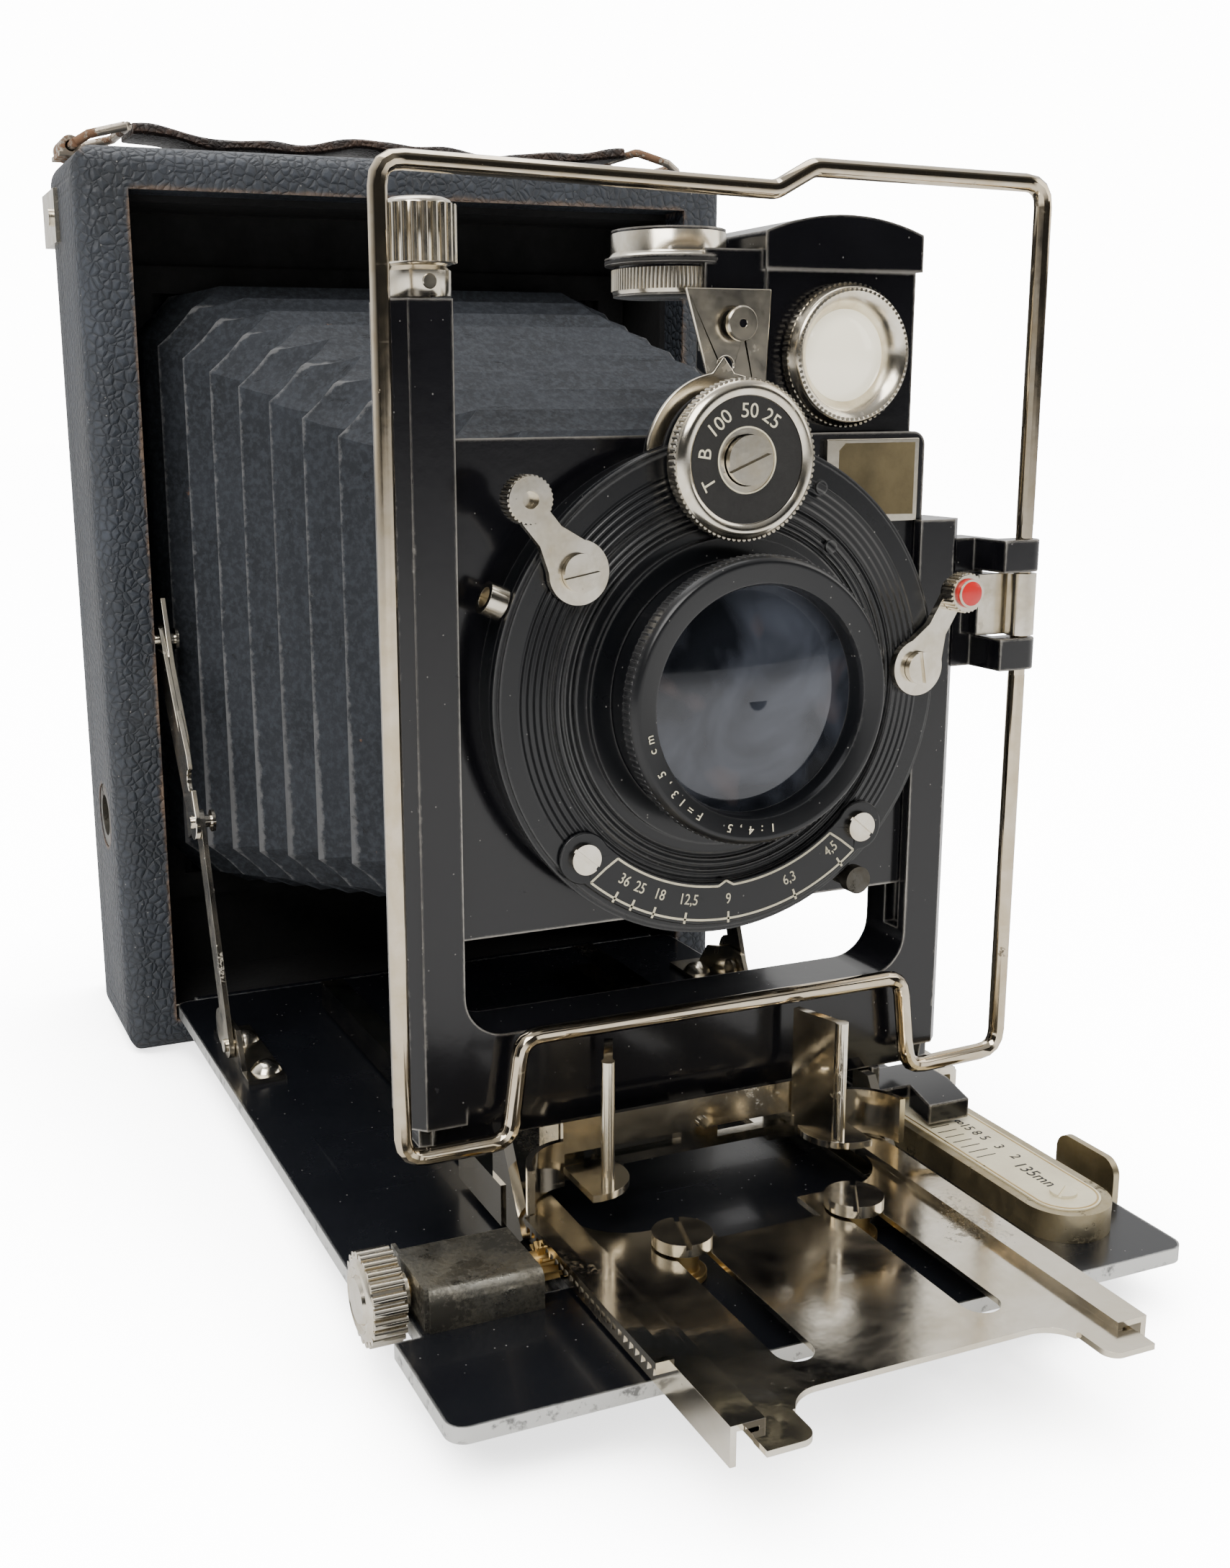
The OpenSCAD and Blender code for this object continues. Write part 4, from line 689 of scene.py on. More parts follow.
def tick_row_tree():
    """Geometry nodes: short raised lines in a row along X, for scales."""
    tree = bpy.data.node_groups.new("Tick row", "GeometryNodeTree")
    sockets = (("Count", "NodeSocketInt", 6), ("Step", "NodeSocketFloat", 0.002),
        ("Width", "NodeSocketFloat", 0.0002),
               ("Length", "NodeSocketFloat", 0.002), ("Depth", "NodeSocketFloat", 0.00005),
                   ("Material", "NodeSocketMaterial", None))
    for title, kind, default in sockets:
        socket = tree.interface.new_socket(title, in_out="INPUT", socket_type=kind)
        if default is not None:
            socket.default_value = default
    tree.interface.new_socket("Geometry", in_out="OUTPUT", socket_type="NodeSocketGeometry")
    given, result = tree.nodes.new("NodeGroupInput"), tree.nodes.new("NodeGroupOutput")
    offset = node(tree, "ShaderNodeCombineXYZ", {0: given.outputs["Step"]})
    line = node(tree, "GeometryNodeMeshLine",
        {"Count": given.outputs["Count"], "Offset": offset.outputs[0]})
    size = node(tree, "ShaderNodeCombineXYZ",
        {0: given.outputs["Width"], 1: given.outputs["Length"], 2: given.outputs["Depth"]})
    mark = node(tree, "GeometryNodeMeshCube", {"Size": size.outputs[0]})
    placed = node(tree, "GeometryNodeInstanceOnPoints",
        {"Points": line.outputs[0], "Instance": mark.outputs["Mesh"]})
    real = node(tree, "GeometryNodeRealizeInstances", {0: placed.outputs[0]})
    painted = node(tree, "GeometryNodeSetMaterial",
        {"Geometry": real.outputs[0], "Material": given.outputs["Material"]})
    tree.links.new(painted.outputs[0], result.inputs[0])
    return tree


def soften_tree():
    """Geometry nodes: weld a loose mesh and shade it smooth below an angle, before its edges are rounded."""
    tree = bpy.data.node_groups.new("Weld and smooth", "GeometryNodeTree")
    tree.interface.new_socket("Geometry", in_out="INPUT", socket_type="NodeSocketGeometry")
    socket = tree.interface.new_socket("Angle", in_out="INPUT", socket_type="NodeSocketFloat")
    socket.default_value = math.radians(30)
    tree.interface.new_socket("Geometry", in_out="OUTPUT", socket_type="NodeSocketGeometry")
    given, result = tree.nodes.new("NodeGroupInput"), tree.nodes.new("NodeGroupOutput")
    welded = node(tree, "GeometryNodeMergeByDistance", {"Geometry": given.outputs[0], "Distance": 1e-6})
    smooth = node(tree, "GeometryNodeSetShadeSmooth", {"Geometry": welded.outputs[0], "Shade Smooth": True},
        domain="FACE")
    angle = node(tree, "GeometryNodeInputMeshEdgeAngle")
    flat = node(tree, "FunctionNodeCompare", {0: angle.outputs[0], 1: given.outputs["Angle"]},
        operation="LESS_THAN")
    edges = node(tree, "GeometryNodeSetShadeSmooth",
        {"Geometry": smooth.outputs[0], "Shade Smooth": flat.outputs[0]}, domain="EDGE")
    tree.links.new(edges.outputs[0], result.inputs[0])
    return tree


def run_tree(tree_name, values):
    """The plain mesh that a geometry node tree makes from named inputs."""
    tree = bpy.data.node_groups[tree_name]
    host = bpy.data.objects.new("tree_host", bpy.data.meshes.new("tree_host"))
    modifier = host.modifiers.new("tree", "NODES")
    modifier.node_group = tree
    for item in tree.interface.items_tree:
        if item.item_type == "SOCKET" and item.in_out == "INPUT" and item.name in values:
            modifier[item.identifier] = values[item.name]
    bpy.context.scene.collection.objects.link(host)
    mesh = bpy.data.meshes.new_from_object(host.evaluated_get(bpy.context.evaluated_depsgraph_get()))
    host.modifiers.clear()
    bpy.data.objects.remove(host)
    return mesh


def ribs(count, radius, length, rib, matrix, material, sides=8):
    """A ring of ribs, its middle at the frame's origin; sizes in mm."""
    mesh = run_tree("Rib ring", {"Count": count, "Radius": radius * MM, "Length": length * MM,
        "Rib radius": rib * MM,
                    "Rib sides": sides, "Material": finish_of(material)})
    mesh.transform(matrix)
    return mesh


# ---------------------------------------------------------------- settings

class PlateCameraSettings(bpy.types.PropertyGroup):
    edge_round: bpy.props.FloatProperty(name="Edge rounding",
        description="Width of the rounding on metal edges",
                                        default=0.00022, min=0.0, max=0.001, unit="LENGTH")
    bellows_folds: bpy.props.IntProperty(name="Bellows folds",
        description="Number of pleats from body to board",
                                         default=10, min=4, max=20)
    fold_depth: bpy.props.FloatProperty(name="Fold depth", description="Depth of the bellows pleats",
                                        default=0.0042, min=0.001, max=0.008, unit="LENGTH")
    numeral_height: bpy.props.FloatProperty(name="Numeral height",
        description="Height of the dial's numerals",
                                            default=0.0019, min=0.001, max=0.003, unit="LENGTH")
    leather_color: bpy.props.FloatVectorProperty(name="Leather", description="Colour of the body's leather",
                                                 default=(0.03, 0.035, 0.043), subtype="COLOR", min=0.0,
                                                     max=1.0)
    bellows_color: bpy.props.FloatVectorProperty(name="Bellows", description="Colour of the bellows",
                                                 default=(0.014, 0.016, 0.0195), subtype="COLOR", min=0.0,
                                                     max=1.0)
    nickel_color: bpy.props.FloatVectorProperty(name="Nickel", description="Colour of the nickel plate",
                                                default=(0.8, 0.75, 0.65), subtype="COLOR", min=0.0,
                                                    max=1.0)
    numeral_color: bpy.props.FloatVectorProperty(name="Numerals",
        description="Colour of the filled engraving",
                                                 default=(0.8, 0.74, 0.55), subtype="COLOR", min=0.0,
                                                     max=1.0)
    floor_color: bpy.props.FloatVectorProperty(name="Floor", description="Colour of the floor",
                                               default=(0.9, 0.9, 0.9), subtype="COLOR", min=0.0, max=1.0)


def settings_of(context):
    return context.scene.plate_camera


# ---------------------------------------------------------------- finishes of the measured parts

FINISHES = {
    "body_leather": ("body_shell",), "back_leather": ("back_frame",),
    "inner_black": ("inner_box", "bellows_rear_frame", "focusing_back", "iris_blades", "rear_barrel"),
    "nickel_mirror": ("rail_plate", "grip_left", "grip_right", "carriage", "rack"),
    "worn_plate": ("focus_housing",),
    "nickel_polished": ("strut_upper_links", "strut_lower_links", "strut_brackets", "strut_pins",
        "bed_hinge_pin",
                        "rail_screws", "finder_plate"),
    "nickel_satin": ("back_latch", "shutter_screws", "cable_socket", "dial_index", "setting_lever",
                     "release_lever", "finder_lens"),
    "nickel_wire": ("wire_frame",), "aged_brass": ("bed_bush", "scale_base", "bed_lock_lever"),
    "brass": ("rail_washers", "pinion_shaft"),
        "dark_steel": ("aperture_pointer", "rise_screw", "shutter_blades", "side_bush"),
    "black_enamel": ("u_frame", "pointer_arm", "wire_clasp", "lens_board", "finder_body", "retaining_ring",
        "hood_cover"),
    "shutter_enamel": ("shutter_case", "lens_barrel", "aperture_plate"),
    "grooved_enamel": ("shutter_cover",),
    "bed_enamel": ("bed",), "rusty_steel": ("handle_lugs",), "ivory": ("scale_plate",),
    "front_glass": ("front_glass",), "lens_glass": ("rear_glass",)}
SHARP = ("bellows_rear_frame", "front_glass", "rear_glass", "iris_blades", "shutter_blades", "rack",
    "pinion_shaft")
ROUNDING = {"wire_frame": 0.0, "inner_box": 0.0, "grip_left": 0.0003, "grip_right": 0.0003,
    "body_shell": 0.0,
            "u_frame": 0.0006, "finder_body": 0.0007, "lens_board": 0.0004, "rail_plate": 0.00018,
            "shutter_cover": 0.00012, "strut_upper_links": 0.00018, "strut_lower_links": 0.00018,
            "setting_lever": 0.0002, "release_lever": 0.0002, "shutter_screws": 0.00012,
                "focusing_back": 0.0005}


class PLATECAMERA_OT_finish_frame(bpy.types.Operator):
    """Give each measured part its finish, and round its edges"""
    bl_idname = "plate_camera.finish_frame"
    bl_label = "Finish the frame's parts"

    def execute(self, context):
        settings = settings_of(context)
        soften = soften_tree()
        for finish, names in FINISHES.items():
            for name in names:
                part = NODES[name]
                part.data.materials.clear()
                part.data.materials.append(finish_of(finish))
                if name in SHARP:
                    continue
                welded = part.modifiers.new("weld and smooth", "NODES")
                welded.node_group = soften
                width = ROUNDING.get(name, settings.edge_round)
                if width:
                    rounding = part.modifiers.new("rounded edges", "BEVEL")
                    rounding.width = width
                    rounding.segments = 2
                    rounding.limit_method = "ANGLE"
                    rounding.angle_limit = math.radians(38)
                    rounding.harden_normals = True
        return {"FINISHED"}


# ---------------------------------------------------------------- bellows

BELLOWS_BACK_Y, BELLOWS_FRONT_Y = 0.5, -126.4


def bellows_ring(t, fold, depth):
    """Eight corners of a pleat; the sides and the top swell in turn as fold goes from 0 to 1."""
    side = 51.0 - 19.0 * t - depth * fold
    top = 60.0 - 27.0 * t - depth * (1.0 - fold) * 0.75
    corner = 8.5 - 3.0 * t + (2.0 if fold > 0.5 else -1.5)
    middle = 86.5 - 1.8 * t
    y = BELLOWS_BACK_Y + (BELLOWS_FRONT_Y - BELLOWS_BACK_Y) * t
    outline = ((side, top - corner), (side - corner, top), (corner - side, top), (-side, top - corner),
               (-side, corner - top), (corner - side, -top), (side - corner, -top), (side, corner - top))
    return [Vector((x, y, middle + z)) * MM for x, z in outline]


def bellows_span(first, last, count, depth):
    """Mesh of the pleats between two ring numbers, each wall cut finely and drawn in a little."""
    rows = []
    for i in range(first, last + 1):
        rows.append((bellows_ring(i / count, i % 2, depth), 1.0 - i % 2))
    cuts, along = 3, (6, 2, 6, 2, 6, 2, 6, 2)

    def build(work):
        tip = work.verts.layers.float.new("tip")
        previous = None
        for i, (ring, outer) in enumerate(rows):
            steps = [(0.0, ring, ring)] if i == 0 else [((k + 1) / cuts, rows[i - 1][0],
                ring) for k in range(cuts)]
            for share, a, b in steps:
                blended = [p.lerp(q, share) for p, q in zip(a, b)] if i else list(ring)
                loop = []
                for k in range(8):
                    start, end = blended[k], blended[(k + 1) % 8]
                    for s in range(along[k]):
                        u = s / along[k]
                        p = start.lerp(end, u)
                        crease = math.sin(math.pi * share) if i else 0.0
                        sag = math.sin(math.pi * u) * (0.25 if along[k] > 2 else 0.0) * MM
                        wave = 0.22 * MM * math.sin(p.z * 410.0 + i * 1.7) * math.sin(p.x * 300.0 + i)
                        inward = Vector((-p.x, 0.0, 0.0865 - p.z)).normalized()
                        vert = work.verts.new(p + inward * (crease * 0.35 * MM + sag + wave * (0.3 + crease)))
                        near = outer if share == 1.0 or i == 0 else abs(share - 0.5) * 0.5
                        vert[tip] = near + (0.35 if s == 0 and along[k] > 2 else 0.0)
                        loop.append(vert)
                if previous:
                    n = len(loop)
                    for k in range(n):
                        work.faces.new((previous[k], previous[(k + 1) % n], loop[(k + 1) % n], loop[k]))
                previous = loop
    work = bmesh.new()
    build(work)
    mesh = bpy.data.meshes.new("bellows")
    work.normal_update()
    work.to_mesh(mesh)
    work.free()
    centre = Vector((0.0, 0.0, 0.0865))
    face = mesh.polygons[0]
    if face.normal.dot(Vector(face.center) - Vector((0.0, face.center.y, centre.z))) < 0:
        mesh.flip_normals()
    return mesh


class PLATECAMERA_OT_make_bellows(bpy.types.Operator):
    """Fold the bellows in three lengths"""
    bl_idname = "plate_camera.make_bellows"
    bl_label = "Make the bellows"

    def execute(self, context):
        settings = settings_of(context)
        count = settings.bellows_folds * 2
        lengths = (("bellows_rear", 0, count // 2, "camera_body", "rails"),
                   ("bellows_middle", count // 2, count - 4, "rails", "standard"),
                   ("bellows_front", count - 4, count, "standard", "lens_panel"))
        for name, first, last, behind, ahead in lengths:
            mesh = bellows_span(first, last, count, settings.fold_depth / MM)
            mesh.name = name
            mesh.materials.append(finish_of("bellows_cloth"))
            piece = bpy.data.objects.new(name, mesh)
            context.scene.collection.objects.link(piece)
            mesh.shade_smooth()
            mesh.set_sharp_from_angle(angle=math.radians(22))
            thick = piece.modifiers.new("cloth", "SOLIDIFY")
            thick.thickness = 0.0006
            thick.offset = -1.0
            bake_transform(piece)
            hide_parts("bellows")
        return {"FINISHED"}


# ---------------------------------------------------------------- strap

class PLATECAMERA_OT_make_strap(bpy.types.Operator):
    """Cut the worn carrying strap, and bend its wire loops"""
    bl_idname = "plate_camera.make_strap"
    bl_label = "Make the strap"

    def execute(self, context):
        low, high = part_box("handle_strap")
        middle_y = (low.y + high.y) / 2 / MM
        stations = 64

        def build(work):
            previous = None
            for i in range(stations + 1):
                u = i / stations
                x = (low.x + (high.x - low.x) * u) / MM
                z = 171.1 + 0.7 * math.cos(u * math.tau * 2.1) + 0.35 * math.sin(u * math.tau * 5.3)
                z += 0.9 * abs(2 * u - 1) ** 6
                half_w = 6.6 + 0.35 * math.sin(u * 31.0) + 0.2 * math.sin(u * 77.0)
                half_t = 0.95 + 0.12 * math.sin(u * 53.0)
                outline = ((-1, -0.5), (-0.9, -1), (0.9, -1), (1, -0.5), (1, 0.5), (0.92, 0.95),
                    (0.4, 1.05), (0, 1.1),
                           (-0.4, 1.05), (-0.92, 0.95), (-1, 0.5))
                loop = [work.verts.new(Vector((x, middle_y + a * half_w, z + b * half_t)) * MM) for a,
                    b in outline]
                if previous:
                    n = len(loop)
                    for k in range(n):
                        work.faces.new((previous[k], previous[(k + 1) % n], loop[(k + 1) % n], loop[k]))
                else:
                    work.faces.new(loop)
                previous = loop
            work.faces.new(list(reversed(previous)))

        new_piece("strap", mesh_from("strap", build), "camera_body", "strap_leather",
            ("handle_strap",), 50.0)

        def loops(work):
            for side in (-1, 1):
                corners = [(60.9, middle_y - 8.7, 169.4), (61.1, middle_y + 8.7, 169.4),
                    (58.6, middle_y + 9.3, 170.8),
                           (51.9, middle_y + 9.3, 172.5), (51.4, middle_y + 8.6, 172.6),
                               (51.4, middle_y - 8.6, 172.6),
                           (51.9, middle_y - 9.3, 172.5), (58.6, middle_y - 9.3, 170.8),
                               (60.9, middle_y - 8.7, 169.4)]
                tube(work, [(side * x, y, z) for x, y, z in corners], 0.82, 10)

        new_piece("strap_wire_loops", mesh_from("strap_wire_loops", loops), "camera_body", "rusty_steel",
                  ("handle_loops",), 60.0)
        return {"FINISHED"}


# ---------------------------------------------------------------- knobs

class PLATECAMERA_OT_make_knobs(bpy.types.Operator):
    """Turn the fluted focusing knob and the rising front's knob"""
    bl_idname = "plate_camera.make_knobs"
    bl_label = "Make the knobs"

    def execute(self, context):
        low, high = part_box("focus_knob")
        axis_y, axis_z = (low.y + high.y) / 2 / MM, (low.z + high.z) / 2 / MM
        left = low.x / MM
        core = mesh_from("core", lambda work: lathe(work,
            [(1.55, 6.2), (2.5, 6.2), (2.5, 4.95), (5.0, 4.95), (5.45, 4.5),
                         (5.45, 0.5), (5.0, 0.0), (4.3, -0.2), (3.9, 0.15), (3.2, 0.15), (2.9, -0.35),
                             (0, -0.45)],
                         Matrix.Translation(Vector((left + 0.6, axis_y,
                             axis_z)) * MM) @ Matrix.Rotation(math.radians(90), 4, "Y"), 64))
        turned = Matrix.Translation(Vector((left + 3.1, axis_y,
            axis_z)) * MM) @ Matrix.Rotation(math.radians(90), 4, "Y")
        fluted = ribs(22, 5.55, 4.4, 0.62, turned, "nickel_satin", 10)
        new_piece("focusing_knob", join_meshes("focusing_knob", [core, fluted]), "focus", "nickel_satin",
                  ("focus_knob",), 40.0)

        low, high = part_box("rise_knob")
        cx, cy, z0 = (low.x + high.x) / 2 / MM, (low.y + high.y) / 2 / MM, low.z / MM
        place = upright(cx, cy, z0)
        core = mesh_from("core", lambda work: lathe(work,
            [(1.45, 0), (3.9, 0), (4.1, 0.25), (4.1, 3.3), (3.7, 3.6), (3.5, 3.9),
                         (4.2, 4.1), (4.45, 4.4), (4.45, 11.2), (4.1, 11.8), (3.4, 12.1), (0, 12.15)],
                             place, 64))
        fluted = ribs(22, 4.45, 7.0, 0.5, upright(cx, cy, z0 + 7.8), "nickel_satin", 10)
        pin = mesh_from("pin", lambda work: lathe(work,
            [(0, 0.25), (0.85, 0.25), (0.95, 0.1), (0.95, -0.5), (0, -0.5)],
                        facing_front(cx, cy - 4.0, z0 + 1.9), 24))
        new_piece("rise_screw_knob", join_meshes("rise_screw_knob", [core, fluted, pin]), "rise",
            "nickel_satin",
                  ("rise_knob",), 40.0)
        return {"FINISHED"}


# ---------------------------------------------------------------- lens

def arc_text(words, radius, first, step, height, centre, y, outward=True, material_depth=0.03):
    """Letters set one by one round a centre, clockwise from an angle measured from the top."""
    made = []
    for k, letter in enumerate(words):
        if letter == " ":
            continue
        angle = math.radians(first + step * k)
        spot = Matrix.Translation(Vector((centre[0], y, centre[1])) * MM) @ Matrix.Rotation(angle, 4, "Y")
        spot = spot @ Matrix.Translation(Vector((0, 0, radius * MM))) @ Matrix.Rotation(math.radians(90), 4,
            "X")
        if not outward:
            spot = spot @ Matrix.Rotation(math.pi, 4, "Z")
        made.append(letters(letter, height, spot, material_depth))
    return made


class PLATECAMERA_OT_make_lens(bpy.types.Operator):
    """Turn the lens's front ring with its fine milling and filled engraving, and the diaphragm behind the glass"""
    bl_idname = "plate_camera.make_lens"
    bl_label = "Make the lens"

    def execute(self, context):
        place = facing_front(LENS_X, RING_Y, LENS_Z)
        profile = [(18.75, -3.6), (18.75, -3.3), (19.1, -3.1), (19.1, -0.9), (18.85, -0.55), (18.6, -0.1),
            (18.35, 0.0),
                   (17.9, -0.05), (17.6, -0.12), (15.95, -0.3), (15.6, -0.45), (15.35, -1.0), (15.25, -1.3),
                       (15.25, -3.6)]
        ring = mesh_from("ring", lambda work: lathe(work, profile, place, 160, closed=True))
        milled = ribs(128, 19.05, 2.1, 0.2, facing_front(LENS_X, RING_Y + 2.0, LENS_Z), "shutter_enamel", 6)
        new_piece("lens_front_ring", join_meshes("lens_front_ring", [ring, milled]), "lens_panel",
            "shutter_enamel",
                  ("lens_ring",), 40.0)
        words = arc_text("1:4,5  F=13,5 cm", 16.95, 174.0, 5.6, 1.15, (LENS_X, LENS_Z), RING_Y + 0.12)
        new_piece("lens_engraving", join_meshes("lens_engraving", words), "lens_panel", "cream_inlay",
            smooth=0)

        def diaphragm(work):
            lathe(work, [(8.2, 0.0), (15.1, 0.6), (15.1, 1.0), (8.2, 0.4)],
                facing_front(LENS_X, RING_Y + 12.0, LENS_Z), 72,
                  closed=True)
            lathe(work, [(14.4, 0.0), (14.5, 0.0), (14.5, 9.0), (14.4, 9.0)],
                facing_front(LENS_X, RING_Y + 12.5, LENS_Z), 72,
                  closed=True)
            lathe(work, [(0, 0.0), (14.2, 0.0), (14.2, -0.5), (0, -0.5)],
                facing_front(LENS_X, RING_Y + 15.5, LENS_Z), 72)

        new_piece("diaphragm_stop", mesh_from("diaphragm_stop", diaphragm), "lens_panel", "inner_black")

        def second_glass(work):
            lathe(work, [(0, -2.2), (4, -2.05), (8, -1.5), (11, -0.6), (11, 0.6), (8, 0.1), (4, -0.3),
                (0, -0.4)],
                  facing_front(LENS_X, RING_Y + 9.0, LENS_Z), 72)

        new_piece("second_glass", mesh_from("second_glass", second_glass), "lens_panel", "lens_glass")
        return {"FINISHED"}


# ---------------------------------------------------------------- dial

class PLATECAMERA_OT_make_dial(bpy.types.Operator):
    """Make the speed dial: milled rim, black face, numerals and centre ring"""
    bl_idname = "plate_camera.make_dial"
    bl_label = "Make the speed dial"

    def execute(self, context):
        height = settings_of(context).numeral_height / MM
        front = COVER_Y - 5.0
        place = facing_front(DIAL_X, front, DIAL_Z)
        profile = [(3.35, -4.7), (9.4, -4.7), (9.6, -4.5), (9.6, -2.8), (10.1, -2.6), (10.25, -2.3),
            (10.25, -0.9), (10.0, -0.6),
                   (9.6, -0.15), (9.2, 0.0), (8.7, -0.05), (8.25, -0.35), (8.2, -0.55), (3.35, -0.55)]
        rim = mesh_from("rim", lambda work: lathe(work, profile, place, 128, closed=True))
        milled = ribs(84, 10.2, 1.5, 0.28, facing_front(DIAL_X, front + 1.6, DIAL_Z), "nickel_satin", 8)
        new_piece("speed_dial_rim", join_meshes("speed_dial_rim", [rim, milled]), "dial", "nickel_satin",
                  ("speed_dial",), 40.0)
        face = mesh_from("face", lambda work: lathe(work,
            [(4.35, -0.5), (8.15, -0.5), (8.15, -0.42), (4.35, -0.42)], place, 96,
                         closed=True))
        new_piece("speed_dial_face", face, "dial", "black_inlay")
        hub_line = mesh_from("hub_line", lambda work: lathe(work,
            [(4.1, -0.54), (4.3, -0.54), (4.3, -0.4), (4.1, -0.4)], place, 96,
                             closed=True))
        marks = [hub_line]
        for words, angle in (("T", -118.0), ("B", -82.0), ("100", -42.0), ("50", 2.0), ("25", 34.0)):
            turn = Matrix.Translation(Vector((DIAL_X, front,
                DIAL_Z)) * MM) @ Matrix.Rotation(math.radians(angle), 4, "Y")
            spot = turn @ Matrix.Translation(Vector((0, 0.40 * MM,
                6.2 * MM))) @ Matrix.Rotation(math.radians(90), 4, "X")
            marks.append(letters(words, height, spot))
        new_piece("speed_dial_numerals", join_meshes("speed_dial_numerals", marks), "dial", "cream_inlay",
            smooth=0)
        return {"FINISHED"}


# ---------------------------------------------------------------- aperture scale

class PLATECAMERA_OT_make_aperture_scale(bpy.types.Operator):
    """Fill the aperture scale's border, ticks and numerals with cream paint"""
    bl_idname = "plate_camera.make_aperture_scale"
    bl_label = "Make the aperture scale"

    def execute(self, context):
        y0, y1 = COVER_Y - 0.76, COVER_Y - 0.68
        centre = Vector((LENS_X, 0.0, LENS_Z))

        def at(radius, degrees):
            a = math.radians(degrees)
            return (centre.x + radius * math.cos(a), centre.z + radius * math.sin(a))

        def band(work, r0, r1, a0, a1, steps):
            outer = [at(r1, a0 + (a1 - a0) * k / steps) for k in range(steps + 1)]
            inner = [at(r0, a0 + (a1 - a0) * k / steps) for k in range(steps, -1, -1)]
            strip(work, outer + inner, y0, y1)

        def lines(work):
            band(work, 31.75, 32.05, -130.5, -49.5, 60)
            band(work, 26.95, 27.25, -128.0, -92.5, 40)
            band(work, 26.95, 27.25, -87.5, -52.0, 40)
            for a, b in ((at(27.1, -92.5), at(25.6 + 0.8, -90)), (at(25.6 + 0.8, -90), at(27.1, -87.5)),
                         (at(27.1, -128.0), at(29.2, -129.4)), (at(29.2, -129.4), at(31.9, -130.5)),
                         (at(27.1, -52.0), at(29.2, -50.6)), (at(29.2, -50.6), at(31.9, -49.5))):
                d = Vector((b[0] - a[0], b[1] - a[1])).normalized() * 0.15
                strip(work, [(a[0] - d.y, a[1] + d.x), (b[0] - d.y, b[1] + d.x), (b[0] + d.y, b[1] - d.x),
                    (a[0] + d.y, a[1] - d.x)],
                      y0, y1)
            for angle in STOPS.values():
                band(work, 30.9, 32.5, angle - 0.28, angle + 0.28, 1)

        made = [mesh_from("lines", lines)]
        for words, angle in STOPS.items():
            a = math.radians(angle)
            spot = Matrix.Translation(Vector((centre.x + 29.1 * math.cos(a), y0 + 0.03,
                centre.z + 29.1 * math.sin(a))) * MM)
            spot = spot @ Matrix.Rotation(math.radians(-(angle + 90)), 4,
                "Y") @ Matrix.Rotation(math.radians(90), 4, "X")
            made.append(letters(words, 1.55, spot @ Matrix.Scale(0.82, 4, (1, 0, 0))))
        new_piece("aperture_scale_marks", join_meshes("aperture_scale_marks", made), "lens_panel",
            "cream_inlay", smooth=0)
        return {"FINISHED"}


STOPS = {"36": -122.6, "25": -117.3, "18": -110.8, "12,5": -101.6, "9": -89.2, "6,3": -69.5, "4,5": -54.5}


# ---------------------------------------------------------------- focusing scale

